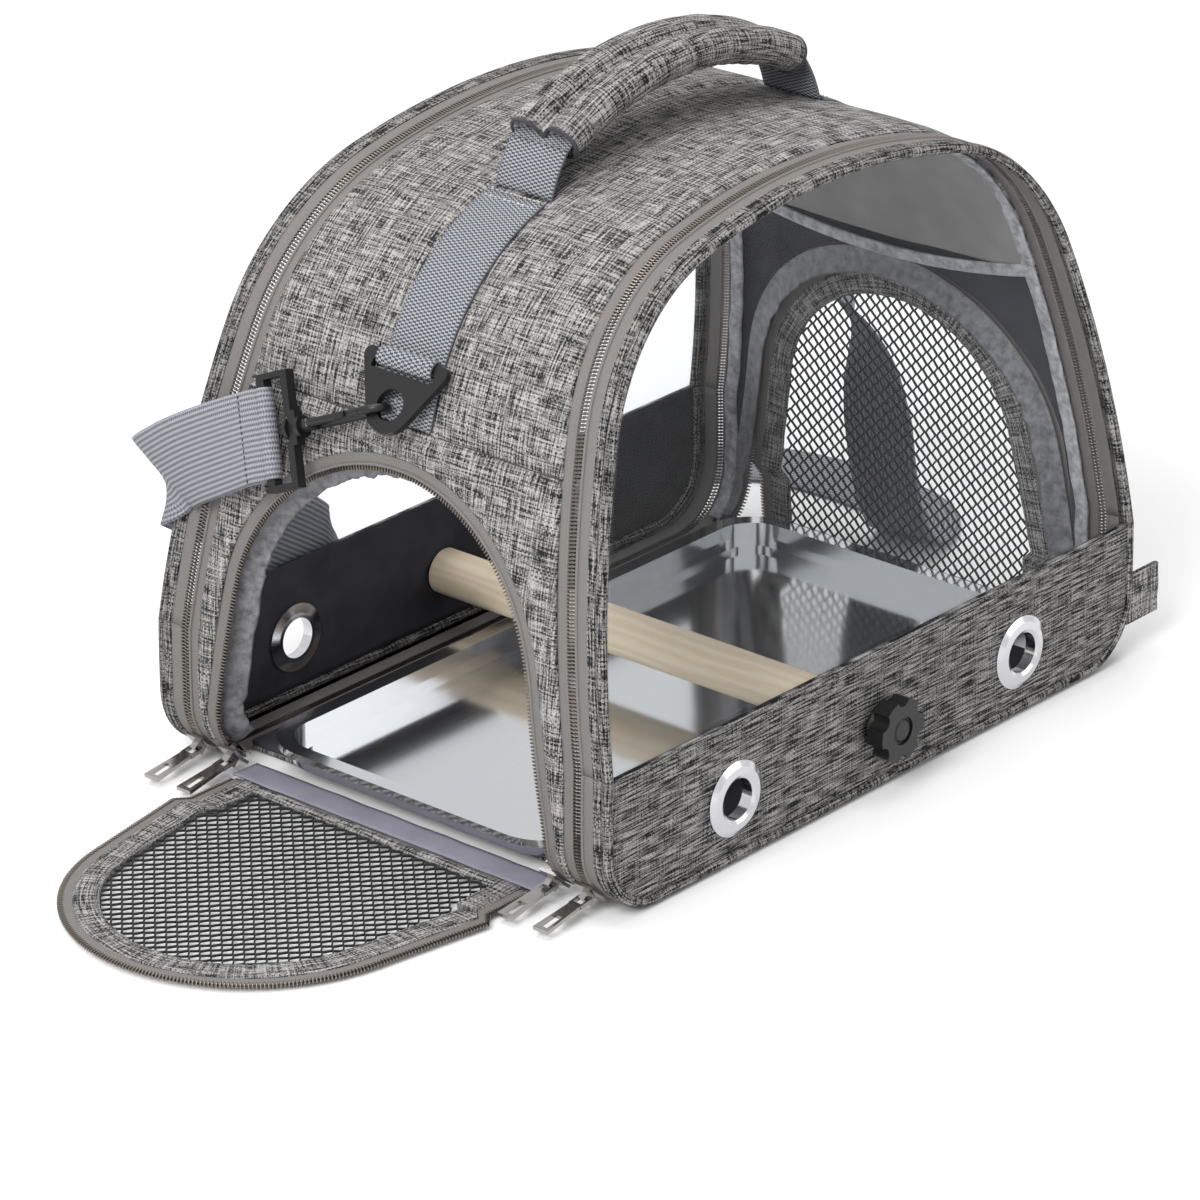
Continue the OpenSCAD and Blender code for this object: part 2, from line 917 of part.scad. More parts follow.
// distance from the ring hole's middle to the middle of the hook's bend
hook_offset = ring_hole_r - hook_wire_r - 1 + hook_bend_r;
ring_mid = [ring_bar.x + ring_drop * sin(ring_tilt), ring_bar.y - ring_drop * cos(ring_tilt)];

// hook frame: X along the hook from its bend to its collar, Y out of the fabric, origin at the bend's middle
module on_hook(side) {
    on_end(side)
        translate([ring_mid.x, 0, ring_mid.y])
            rotate([-hook_angle, 0, 0])
                rotate([0, 0, 90])
                    mirror([0, 1, 0])
                        translate([hook_offset, 0, 0])
                            children();
}

// the same placing for one point at p.x along the hook and p.y up its frame's width
function hook_point(side, p) =
    let (along = p.x + hook_offset, out = ring_mid.x,
        y = along * cos(hook_angle) + p.y * sin(hook_angle),
        z = ring_mid.y - along * sin(hook_angle) + p.y * cos(hook_angle))
    [side * (ring_p.x + out * cos(ring_lean) - z * sin(ring_lean)), y,
        ring_p.y + out * sin(ring_lean) + z * cos(ring_lean)];

module bar(p, q, r) {
    d = q - p;
    translate(p)
        rotate([0, acos(d.z / norm(d)), atan2(d.y, d.x)])
            cylinder(r = r, h = norm(d));
}

module hook(side) {
    r = hook_wire_r;
    stem = hook_straight + hook_bend_r;
    color(black)
        on_hook(side) {
            rotate([0, 0, 90])
                rotate_extrude(angle = 180)
                    translate([hook_bend_r, 0])
                        circle(r, $fn = 32);
            bar([0, -hook_bend_r, 0], [hook_straight, -hook_bend_r, 0], r);
            bar([0, hook_bend_r, 0], [3.4, hook_bend_r, 0], r);
            translate([hook_straight, 0, 0])
                rotate([0, 0, -90])
                    rotate_extrude(angle = 90)
                        translate([hook_bend_r, 0])
                            circle(r, $fn = 32);
            translate([hook_straight, 0, 0])
                rotate([0, 90, 0])
                    cylinder(r = 2.6, h = stem - hook_straight + 4);
            translate([hook_straight - 1, 0.8, -1.9])
                cube([4.6, 2, 3.8]);
            translate([stem + 2, 0, 0])
                rotate([0, 90, 0])
                    cylinder(r = 4.6, h = 2);
            translate([stem + 4, 0, 0])
                rotate([0, 90, 0])
                    cylinder(r = 2.4, h = 4.6);
            translate([stem + 8.4, 0, 0])
                rotate([0, 90, 0])
                    cylinder(r = 4.4, h = 1.6);
        }
}

module hook_gate(side) {
    pivot_x = hook_straight + 1.2;
    color(black)
        on_hook(side) {
            bar([3.8, hook_bend_r, 0], [pivot_x, hook_bend_r, 0], hook_wire_r - 0.2);
            translate([pivot_x, hook_bend_r, 0])
                cylinder(r = hook_wire_r, h = 3.4, center = true);
            translate([10, hook_bend_r + 0.8, -1])
                cube([4, 1.8, 2]);
        }
}

frame_d = 16;

module hook_frame(side) {
    stem = hook_straight + hook_bend_r;
    half = strap_w / 2 + 2.2;
    color(black)
        on_hook(side)
            translate([stem + 4.3, 0, 0])
                rotate([90, 0, 0])
                    translate([0, 0, -2.4])
                        difference() {
                            linear_extrude(4.8)
                                difference() {
                                    union() {
                                        translate([0, -7])
                                            square([3.8, 14]);
                                        translate([2, -half - 2.4])
                                            square([frame_d, 2 * half + 4.8]);
                                    }
                                    translate([5.2, -half])
                                        square([frame_d - 7.2, 2 * half]);
                                }
                            translate([-6, 0, 2.4])
                                rotate([0, 90, 0])
                                    cylinder(r = 2.5, h = 12);
                            translate([3.9, -5, -1])
                                cube([2.6, 10, 7]);
                        }
}

// where the strap leaves a hook's frame: out along the hook, then the direction of its width
strap_start = hook_straight + hook_bend_r + 4.3 + frame_d + 3;
function strap_up(side) = hook_point(side, [0, 1]) - hook_point(side, [0, 0]);

w = body_w / 2;
yb = face_y;
strap_y = yb + 36.5;
strap_z = web_t / 2 + 0.5;

// strap route: middle of the strap, then the direction of its width
strap_path = [
    [hook_point(-1, [strap_start, 0]), -strap_up(-1)],
    [hook_point(-1, [strap_start + 12, 0]), -strap_up(-1)],
    [[-w + 0.5, yb - 24, 139], [0, -0.5, -0.86]],
    [[-w + 0.5, yb - 12, 131.5], [0.15, -0.45, -0.88]],
    [[-w + 4.5, yb - 3, 125], [0.45, -0.25, -0.85]],
    [[-w + 15, yb, 117.5], [0.55, 0.05, -0.83]],
    [[-w + 42, yb + 0.5, 99], [0.55, 0.12, -0.83]],
    [[-w + 78, yb + 2.5, 75], [0.52, 0.12, -0.85]],
    [[-62, yb + 8, 55], [0.5, 0.05, -0.86]],
    [[-40, yb + 15.5, 38], [0.42, -0.2, -0.88]],
    [[-20, yb + 25, 20.5], [0.28, -0.6, -0.74]],
    [[-2, yb + 32.5, 8.5], [0.16, -0.87, -0.46]],
    [[12, strap_y - 0.5, 2.6], [0.04, -0.99, -0.1]],
    [[22, strap_y, strap_z], [0, -1, 0]],
    [[w + 6, strap_y, strap_z], [0, -1, 0]],
    [[w + 20, strap_y - 1, strap_z], [-0.2, -0.98, 0]],
    [[w + 44, strap_y - 10, strap_z], [-0.6, -0.8, 0]],
    [[w + 60, strap_y - 30, strap_z], [-0.9, -0.42, 0]],
    [[w + 66, strap_y - 54, strap_z], [-1, -0.1, 0]],
    [[w + 67, strap_y - 80, strap_z], [-1, 0.05, 0]],
    [[w + 64, 54, strap_z], [-0.98, 0.2, 0]],
    [[w + 55, 38, strap_z], [-0.8, 0.6, 0]],
    [[w + 41, 28, 2.4], [-0.4, 0.92, 0]],
    [[w + 27, 24, 8], [-0.1, 0.99, 0]],
    [[w + 18, 24, 22], [0, 1, 0]],
    [[w + 14.5, 26, 42], [0, 1, 0]],
    [[w + 14, 29, 64], [0, 1, 0]],
    [[w + 15, 34, 84], [0.2, 0.97, -0.1]],
    [[w + 17, 42, 99], [0.5, 0.8, -0.3]],
    [[w + 19, 53, 111], [0.8, 0.5, -0.3]],
    [[w + 20, 65, 120], [0.95, 0.2, -0.1]],
    [[w + 20, 76, 129], [1, 0, 0]],
    [[w + 18, 83, 138], [0.95, 0.1, 0.2]],
    [[w + 12, 83, 146], [0.75, 0.25, 0.55]],
    [hook_point(1, [strap_start + 9, 0]) + [0.8, 0, 0], [0, 0.4, 0.9]],
    [hook_point(1, [strap_start, 0]), strap_up(1)]];

function unit(v) = v / norm(v);
function strap_dir(i) =
    unit(strap_path[min(i + 1, len(strap_path) - 1)][0] - strap_path[max(i - 1, 0)][0]);

// a flat strap: four corners at each station of the route, skinned into one closed solid
module shoulder_strap() {
    n = len(strap_path);
    points = [for (i = [0:n - 1])
        let (d = strap_dir(i), w0 = strap_path[i][1], w = unit(w0 - (w0 * d) * d), t = cross(d, w),
            c = strap_path[i][0])
        for (k = [[-1, -1], [1, -1], [1, 1], [-1, 1]])
            c + k[0] * strap_w / 2 * w + k[1] * web_t / 2 * t];
    sides = [for (i = [0:n - 2], k = [0:3])
        let (a = 4 * i + k, b = 4 * i + (k + 1) % 4)
        for (f = [[a, b, b + 4], [a, b + 4, a + 4]]) f];
    caps = [[0, 2, 1], [0, 3, 2], [4 * n - 4, 4 * n - 3, 4 * n - 2], [4 * n - 4, 4 * n - 2, 4 * n - 1]];
    color(webbing_grey) {
        polyhedron(points, [for (f = concat(sides, caps)) [f[2], f[1], f[0]]]);
        for (side = [-1, 1])
            on_hook(side)
                translate([strap_start - 3, 0, 0])
                    rotate([90, 0, 0])
                        web_loop(2, 2.4, strap_w - 1);
    }
}

module tri_glide() {
    l = 26;
    w = strap_w + 8;
    color(black)
        translate([38, strap_y, strap_z])
            difference() {
                translate([-l / 2, -w / 2, -web_t / 2 - gap + 0.2])
                    cube([l, w, web_t + 2 * gap + 2.6]);
                translate([-l, -(strap_w + 1) / 2, -web_t / 2 - gap - over])
                    cube([2 * l, strap_w + 1, web_t + 2 * gap + over]);
                for (s = [-1, 1])
                    translate([s * l / 4 - 3, -(strap_w - 2) / 2, 0])
                        cube([6, strap_w - 2, 8]);
            }
}

module shoulder_pad() {
    color(heather)
        translate([60 + pad_l / 2, strap_y, 0.2])
            difference() {
                linear_extrude(pad_t)
                    rounded_shape(pad_l, pad_w, 14);
                translate([-pad_l, -(strap_w + 1) / 2, strap_z - 0.2 - web_t / 2 - gap])
                    cube([2 * pad_l, strap_w + 1, web_t + 2 * gap]);
            }
}

// folded tab of the heather fabric, sewn into the piping at the front right corner
module corner_tab() {
    z0 = 15;
    l = 18;
    fold = 4;
    color(heather)
        difference() {
            translate([w - 5, -yb + 0.6, z0])
                difference() {
                    cube([l + 5, fold, 22]);
                    translate([-over, fold / 2 - 0.3, -over])
                        cube([l + 4, 0.6, 22 + 2 * over]);
                }
            arch_solid(0);
        }
}

base_panel();
base_board();
upper_gusset();
end_panel(-1);  // left_end_panel
end_panel(1);  // right_end_panel
roof_lining();
gusset_zip(-1);  // front_gusset_zip
gusset_zip(1);  // back_gusset_zip
band(-1);  // front_band
band(1);  // back_band
band_linings();
band_piping(-1);  // front_band_piping
band_piping(1);  // back_band_piping
eyelets();
eyelet_washers();
perch();
opening_zip(-1);  // left_opening_zip
opening_zip(1);  // right_opening_zip
opening_bindings();
sill_strips();
side_webbing();
ring(-1);  // left_ring
ring(1);  // right_ring
handle_webbing();
handle_sleeve();
shoulder_strap();
tri_glide();
shoulder_pad();
hook(-1);  // left_hook
hook_gate(-1);  // left_hook_gate
hook_frame(-1);  // left_hook_frame
hook(1);  // right_hook
hook_gate(1);  // right_hook_gate
hook_frame(1);  // right_hook_frame
knob(-1);  // front_knob
knob(1);  // back_knob
tray();
window_sheet(-1);  // front_window_sheet
window_piping(-1);  // front_window_piping
window_zip(-1);  // front_window_zip
window_sheet(1);  // back_window_sheet
window_piping(1);  // back_window_piping
window_zip(1);  // back_window_zip
door_net(-1);  // left_door_net
door_binding(-1);  // left_door_binding
door_zip(-1);  // left_door_zip
door_net(1);  // right_door_net
door_binding(1);  // right_door_binding
door_zip(1);  // right_door_zip
slider(-1, -face_slider_y);  // front_slider
pull(-1, -face_slider_y);  // front_pull
slider(-1, face_slider_y);  // back_slider
pull(-1, face_slider_y);  // back_pull
slider(-1, -door_slider_y);  // left_front_slider
pull(-1, -door_slider_y);  // left_front_pull
slider(-1, door_slider_y);  // left_rear_slider
pull(-1, door_slider_y);  // left_rear_pull
slider(1, -door_slider_y);  // right_slider
pull(1, -door_slider_y);  // right_pull
corner_tab();
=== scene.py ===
# %% [markdown]
# # Bird travel carrier: looks
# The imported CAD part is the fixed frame. This script dresses it: padded cloth, webbing, zip teeth, net,
# clear sheets, metal and wood. Everything is in metres, +X along the clear front face, the front face
# towards -Y, +Z up.

# %% Load the frame
import bpy, bmesh, json, math
import numpy as np
from mathutils import Matrix, Vector, noise

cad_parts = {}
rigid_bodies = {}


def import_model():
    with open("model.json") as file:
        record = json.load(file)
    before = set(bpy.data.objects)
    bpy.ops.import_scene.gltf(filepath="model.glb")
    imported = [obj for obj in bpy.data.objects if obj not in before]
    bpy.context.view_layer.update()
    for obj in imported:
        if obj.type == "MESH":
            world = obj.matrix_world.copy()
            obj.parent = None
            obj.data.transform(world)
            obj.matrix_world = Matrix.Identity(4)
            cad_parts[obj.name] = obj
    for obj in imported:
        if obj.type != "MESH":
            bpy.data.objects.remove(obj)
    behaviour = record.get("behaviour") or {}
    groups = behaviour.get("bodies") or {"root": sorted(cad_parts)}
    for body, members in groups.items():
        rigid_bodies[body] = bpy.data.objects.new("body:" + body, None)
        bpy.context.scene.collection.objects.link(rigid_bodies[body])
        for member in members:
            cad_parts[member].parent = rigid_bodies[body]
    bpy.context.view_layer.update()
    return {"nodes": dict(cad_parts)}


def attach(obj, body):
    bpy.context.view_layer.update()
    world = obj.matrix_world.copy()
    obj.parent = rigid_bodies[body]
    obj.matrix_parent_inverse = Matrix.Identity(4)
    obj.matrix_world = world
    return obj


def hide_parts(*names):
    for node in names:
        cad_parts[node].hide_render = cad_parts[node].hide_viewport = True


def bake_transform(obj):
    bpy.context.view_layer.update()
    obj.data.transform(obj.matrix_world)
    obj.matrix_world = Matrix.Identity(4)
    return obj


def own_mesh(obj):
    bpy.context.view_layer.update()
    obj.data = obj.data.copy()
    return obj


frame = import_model()
scene = bpy.context.scene
MM = 0.001

# %% [markdown]
# ## Camera
# The camera was fitted to the carrier's corners, eyelets, door and band edges. A close camera would spread
# the near corner too much and an orthographic one not at all, so it is a perspective camera with a long
# lens, far away, looking from the front left and slightly down.

# %% Camera
TURN, RISE, ROLL = (math.radians(v) for v in (-48.997, 23.853, -0.197))
TARGET, DISTANCE = Vector((-36.76, -2.11, 60.80)) * MM, 2.5486
PICTURE_W, FOCAL_PIXELS, SENSOR_W = 1200, 6233.1, 36

def place_camera():
    """The fitted camera, at its distance from the target."""
    back = Vector((math.sin(TURN) * math.cos(RISE), -math.cos(TURN) * math.cos(RISE), math.sin(RISE)))
    right = Vector((0, 0, 1)).cross(back).normalized()
    up = back.cross(right)
    across = math.cos(ROLL) * right + math.sin(ROLL) * up
    above = -math.sin(ROLL) * right + math.cos(ROLL) * up
    cam = bpy.data.objects.new("camera", bpy.data.cameras.new("camera"))
    scene.collection.objects.link(cam)
    turned = Matrix((across, above, back)).transposed().to_4x4()
    cam.matrix_world = Matrix.Translation(TARGET + back * DISTANCE) @ turned
    cam.data.sensor_width = SENSOR_W
    cam.data.lens = FOCAL_PIXELS / PICTURE_W * SENSOR_W
    cam.data.clip_end = 20
    scene.camera = cam
    return cam

camera = place_camera()
print("camera at", [round(v, 3) for v in camera.matrix_world.translation], "lens", round(camera.data.lens, 1))

# %% [markdown]
# ## The tunnel's shape
# On the real carrier one curve runs round each face, and seams, zips and bindings follow it. It could be
# traced with a Bezier curve, but the CAD part uses a chain of arcs, each tangent to the next: floor,
# rounded corner, straight side, gentle side arc, shoulder arc, crown arc. The same chain here gives an
# exact point and outward normal at any height, so every soft piece lands on the hard ones. Each face leans
# inward above its fabric band. The numbers below are millimetres.

# %% Outline stations
BODY_W, BODY_H, BASE_D, BAND_H = 340, 258, 243, 62
CORNER_R, SIDE_R, SIDE_Z, SHOULDER_R, CROWN_R = 30, 445, 42, 93, 335
LEAN = math.radians(8.5)
SHELL_T, SEAM_Z = 3.6, 172
PIPING, RETURN_D, CHAIN_W, CHAIN_GAP, TAPE_W, CHAIN_T = 5, 13, 2.2, 2, 3.7, 2.4
GUSSET_D = RETURN_D + 2 * CHAIN_W + CHAIN_GAP + TAPE_W
SIDE_CX, CROWN_CZ = BODY_W / 2 - SIDE_R, BODY_H - CROWN_R

def shoulder_centre():
    a, b = SIDE_R - SHOULDER_R, CROWN_R - SHOULDER_R
    dx, dz = -SIDE_CX, CROWN_CZ - SIDE_Z
    l = math.hypot(dx, dz)
    t = (a * a - b * b + l * l) / (2 * l)
    h = math.sqrt(a * a - t * t)
    return SIDE_CX + dx / l * t - dz / l * h, SIDE_Z + dz / l * t + dx / l * h

SHX, SHZ = shoulder_centre()
A1 = math.atan2(SHZ - SIDE_Z, SHX - SIDE_CX)
A2 = math.atan2(SHZ - CROWN_CZ, SHX)

def arch_arcs():
    """Right half of the outline from the floor's middle to the crown: lines and arcs with their centres."""
    return [("line", (0, 0), (BODY_W / 2 - CORNER_R, 0)),
            ("arc", (BODY_W / 2 - CORNER_R, CORNER_R), CORNER_R, -math.pi / 2, 0),
            ("line", (BODY_W / 2, CORNER_R), (BODY_W / 2, SIDE_Z)),
            ("arc", (SIDE_CX, SIDE_Z), SIDE_R, 0, A1),
            ("arc", (SHX, SHZ), SHOULDER_R, A1, A2),
            ("arc", (0, CROWN_CZ), CROWN_R, A2, math.pi / 2)]

def arch(step=4.0):
    """Stations round the outline from the floor's middle, rightwards: x, z, outward normal, length so far."""
    half = []
    for kind, *a in arch_arcs():
        if kind == "line":
            (x0, z0), (x1, z1) = a
            n = max(2, int(math.hypot(x1 - x0, z1 - z0) / step))
            nrm = (0, -1) if z0 == z1 else (1, 0)
            half += [(x0 + (x1 - x0) * i / n, z0 + (z1 - z0) * i / n, *nrm) for i in range(n)]
        else:
            (cx, cz), r, t0, t1 = a
            n = max(3, int(abs(t1 - t0) * r / step))
            half += [(cx + r * math.cos(t), cz + r * math.sin(t), math.cos(t), math.sin(t))
                     for t in (t0 + (t1 - t0) * i / n for i in range(n))]
    pts = half + [(0, BODY_H, 0, 1)] + [(-x, z, -nx, nz) for x, z, nx, nz in reversed(half[1:])]
    out, s = [], 0.0
    for i, p in enumerate(pts):
        if i:
            s += math.hypot(p[0] - pts[i - 1][0], p[1] - pts[i - 1][1])
        out.append((*p, s))
    return out

def face_y(z):
    return BASE_D / 2 - max(0.0, z - BAND_H) * math.tan(LEAN)

def side_x(z):
    """Outward place of the end surface at height z, with its normal in XZ."""
    if z < CORNER_R:
        d = CORNER_R - max(z, 0)
        x = math.sqrt(CORNER_R ** 2 - d * d)
        return BODY_W / 2 - CORNER_R + x, (x / CORNER_R, -d / CORNER_R)
    if z < SIDE_Z:
        return BODY_W / 2, (1, 0)
    s = min((z - SIDE_Z) / SIDE_R, 1)
    return SIDE_CX + SIDE_R * math.sqrt(1 - s * s), (math.sqrt(1 - s * s), s)

ARCH = arch()

def arch_part(z, above):
    """The outline's stations above or below a height, with exact ones where it crosses that height."""
    n = len(ARCH)
    inside = lambda i: (ARCH[i % n][1] >= z) == above
    def crossing(i, j):
        p, q = np.array(ARCH[i % n][:4]), np.array(ARCH[j % n][:4])
        m = p + (q - p) * (z - p[1]) / (q[1] - p[1])
        return (m[0], z, *(m[2:] / np.linalg.norm(m[2:])))
    k = next(i for i in range(n) if inside(i) and not inside(i - 1))
    run = [crossing(k - 1, k)]
    while inside(k):
        run.append(ARCH[k % n][:4])
        k += 1
    run.append(crossing(k - 1, k))
    out, s = [], 0.0
    for i, p in enumerate(run):
        s += math.dist(p[:2], run[i - 1][:2]) if i else 0
        out.append((*p, s))
    return out

print("outline", round(ARCH[-1][4] + abs(ARCH[-1][0])), "mm round,", len(ARCH), "stations")

# %% [markdown]
# ## Small builders
# A cloth is a flat bmesh grid whose vertices are moved onto rows of points, with a UV map in metres along
# the cloth, so that a weave follows the surface. A bevelled curve could sweep the tapes and webbings, but
# its twist is hard to steer and it has no map in real lengths, so a strip is the same grid rolled into a
# tube: a small section carried along a route. What repeats by the hundred, a zip tooth or a stitch, is one
# small bar drawn out with extrusions and then copied to its places, which keeps each copy to a few dozen
# faces.

# %% Builders
PIECES = []

def unit(v):
    return v / np.linalg.norm(v)

def new_piece(name, bm, smooth=True):
    """Turns a bmesh into an object of the scene."""
    me = bpy.data.meshes.new(name)
    bm.to_mesh(me)
    bm.free()
    me.polygons.foreach_set("use_smooth", [smooth] * len(me.polygons))
    ob = bpy.data.objects.new(name, me)
    scene.collection.objects.link(ob)
    return ob

def grid(name, rows, uv_rows, ring=False, loop=False, caps=False):
    """A surface through rows of points; ring joins each row's ends, loop joins the last row to the first."""
    n, m = len(rows), len(rows[0])
    wide = m + ring
    bm = bmesh.new()
    layer = bm.loops.layers.uv.new("UVMap")
    bmesh.ops.create_grid(bm, x_segments=wide - 1, y_segments=n + loop - 1, size=1)
    bm.verts.ensure_lookup_table()
    weld = {}
    for k, v in enumerate(bm.verts):
        i, j = k // wide % n, k % wide % m
        v.co = Vector(rows[i][j]) * MM
        for corner in v.link_loops:
            corner[layer].uv = Vector(uv_rows[i][j]) * MM
        if k != i * wide + j:
            weld[v] = bm.verts[i * wide + j]
    bmesh.ops.weld_verts(bm, targetmap=weld)
    if caps:
        bmesh.ops.holes_fill(bm, edges=bm.edges)
    bmesh.ops.recalc_face_normals(bm, faces=bm.faces)
    return new_piece(name, bm)

def surface(name, us, vs, at):
    """A sheet from at(u, v), which gives a point and its place on the flat cloth."""
    cells = [[at(u, v) for v in vs] for u in us]
    rows, uv_rows = ([[cell[k] for cell in row] for row in cells] for k in (0, 1))
    return grid(name, rows, uv_rows)

def strip(name, section, stations, caps=True):
    """Sweeps a closed section of (a, b) along stations, each a function from (a, b) to a point."""
    rows = [[place(a, b) for a, b in section] for place in stations]
    mids = [np.mean(row, axis=0) for row in rows]
    steps = [float(np.linalg.norm(q - p)) for p, q in zip(mids, mids[1:])]
    girth = [0.0, *np.cumsum([math.dist(p, q) for p, q in zip(section, section[1:])])]
    uvs = [[(s, g) for g in girth] for s in (0.0, *np.cumsum(steps))]
    return grid(name, rows, uvs, ring=True, caps=caps)

def rounded(w, h, r, n=3):
    """Closed section of a rounded bar, w along a and h along b."""
    a, b = w / 2 - r, h / 2 - r
    corners = ((a, b, 0), (-a, b, 90), (-a, -b, 180), (a, -b, 270))
    turns = [(x, y, math.radians(start + 90 * i / n)) for x, y, start in corners for i in range(n + 1)]
    return [(x + r * math.cos(t), y + r * math.sin(t)) for x, y, t in turns]

print("a rounded section has", len(rounded(6.0, 1.4, 0.65)), "points")

# %% Repeated small bars
def drawn_bar(steps):
    """A small six-sided closed bar, drawn out through steps of (along, half width, half height, lift)."""
    bm = bmesh.new()
    corner_first = Matrix.Rotation(math.pi / 2, 4, "Z")
    bmesh.ops.create_circle(bm, cap_ends=True, segments=6, radius=1, matrix=corner_first)
    bm.faces.ensure_lookup_table()
    end, old = bm.faces[0], (0, 1, 1, 0)
    for k, new in enumerate(steps):
        if k:
            made = bmesh.ops.extrude_face_region(bm, geom=[end])["geom"]
            if k > 1:
                bmesh.ops.delete(bm, geom=[end], context="FACES_ONLY")
            end = next(g for g in made if isinstance(g, bmesh.types.BMFace))
        ring = end.verts[:]
        bmesh.ops.translate(bm, verts=ring, vec=(0, -old[3], -old[0]))
        bmesh.ops.scale(bm, verts=ring, vec=(new[1] / old[1], new[2] / old[2], 1))
        bmesh.ops.translate(bm, verts=ring, vec=(0, new[3], new[0]))
        old = new
    bmesh.ops.recalc_face_normals(bm, faces=bm.faces)
    model = bpy.data.meshes.new("bar")
    bm.to_mesh(model)
    bm.free()
    return model

def stamp(name, model, frames, smooth=True):
    """Joins copies of a small model, each set at a frame: origin, axes of width, height and length."""
    bm = bmesh.new()
    for origin, *axes in frames:
        first = len(bm.verts)
        bm.from_mesh(model)
        bm.verts.ensure_lookup_table()
        turned = Matrix([Vector(axis) * MM for axis in axes]).transposed().to_4x4()
        place = Matrix.Translation(Vector(origin) * MM) @ turned
        bmesh.ops.transform(bm, matrix=place, verts=bm.verts[first:])
    bmesh.ops.recalc_face_normals(bm, faces=bm.faces)
    bpy.data.meshes.remove(model)
    return new_piece(name, bm, smooth)

def even_steps(pts, pitch):
    """Steps at an even pitch along points: which stretch, how far along it from 0 to 1, and its direction."""
    pts = np.array(pts, float)
    seg = np.linalg.norm(np.diff(pts, axis=0), axis=1)
    s = np.concatenate([[0], np.cumsum(seg)])
    for v in np.arange(pitch / 2, s[-1], pitch):
        i = min(int(np.searchsorted(s, v)) - 1, len(seg) - 1)
        yield i, (v - s[i]) / max(seg[i], 1e-9), unit(pts[i + 1] - pts[i])

def stitch_line(name, pts, up, pitch=3.0, long=2.0, fat=0.5):
    """A row of stitches lying along a line of points, each dipping into the cloth at both ends."""
    dip, thin = -0.3, 0.35
    model = drawn_bar([(t * long / 2, r * fat / 2, r * fat / 2, lift)
                       for t, r, lift in ((-1, thin, dip), (-0.5, 1, 0.05), (0.5, 1, 0.05), (1, thin, dip))])
    pts, up = np.array(pts, float), unit(np.array(up, float))
    return stamp(name, model, [(pts[i] + (pts[i + 1] - pts[i]) * t, np.cross(d, up), up, d)
                               for i, t, d in even_steps(pts, pitch)])

print("steps along 10 mm at a pitch of 3:", len(list(even_steps([(0, 0, 0), (10, 0, 0)], 3))))

# %% Finishing helpers
def solidify(ob, t):
    """Gives a sheet its thickness, on the inner side."""
    m = ob.modifiers.new("wall", "SOLIDIFY")
    m.thickness, m.offset = t * MM, -1
    return ob

def soften(ob, width):
    """Rounds the sharp edges."""
    m = ob.modifiers.new("edge", "BEVEL")
    m.width, m.segments, m.limit_method, m.angle_limit = width * MM, 2, "ANGLE", math.radians(35)
    return ob

def face_towards(ob, way):
    """Turns an open sheet's faces so that they look along way."""
    if sum(p.normal.dot(Vector(way)) for p in ob.data.polygons) < 0:
        ob.data.flip_normals()
    return ob

def evaluated(ob):
    """A new mesh of the object with its modifiers applied."""
    bpy.context.view_layer.update()
    return bpy.data.meshes.new_from_object(ob.evaluated_get(bpy.context.evaluated_depsgraph_get()))

def set_mesh(ob, me):
    """Gives the object a plain mesh, without modifiers."""
    ob.modifiers.clear()
    ob.data = me

def merge(name, objs):
    """Joins meshes into one piece, keeping their UV maps."""
    bm = bmesh.new()
    for ob in objs:
        bm.from_mesh(ob.data)
        bpy.data.objects.remove(ob)
    return new_piece(name, bm)

def settle(ob, body, material, slot, *nodes, name=None):
    """Gives the piece its finish, body and name, and hides the CAD nodes that it stands for."""
    ob.name = name or ob.name
    ob.data.materials.clear()
    ob.data.materials.append(material)
    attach(ob, body)
    if nodes:
        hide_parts(*nodes)
    PIECES.append(ob.name)
    return ob

print("builders ready")

# %% [markdown]
# ## Finishes
# Every finish is a node material. `Val` lets shader maths be written as plain expressions, and
# `Finish.node` adds any other node, so a material reads like a formula instead of a list of links. Patterns
# read the piece's UV map in metres, or Object coordinates on pieces without one.

# %% Socket arithmetic
class Val:
    """One value in a material's node tree; arithmetic on it adds Math nodes."""
    def __init__(self, fin, out):
        self.fin, self.out = fin, out
    def op(self, kind, *others):
        return self.fin.node("ShaderNodeMath", {"operation": kind}, dict(enumerate((self, *others))))
    def __add__(self, o): return self.op("ADD", o)
    def __sub__(self, o): return self.op("SUBTRACT", o)
    def __mul__(self, o): return self.op("MULTIPLY", o)
    def __pow__(self, o): return self.op("POWER", o)
    def __radd__(self, o): return self.op("ADD", o)
    def __rmul__(self, o): return self.op("MULTIPLY", o)
    def __rsub__(self, o): return self.op("MULTIPLY", -1.0).op("ADD", o)
    def sin(self): return self.op("SINE")
    def clamp(self): return self.fin.node("ShaderNodeClamp", {}, {0: self})

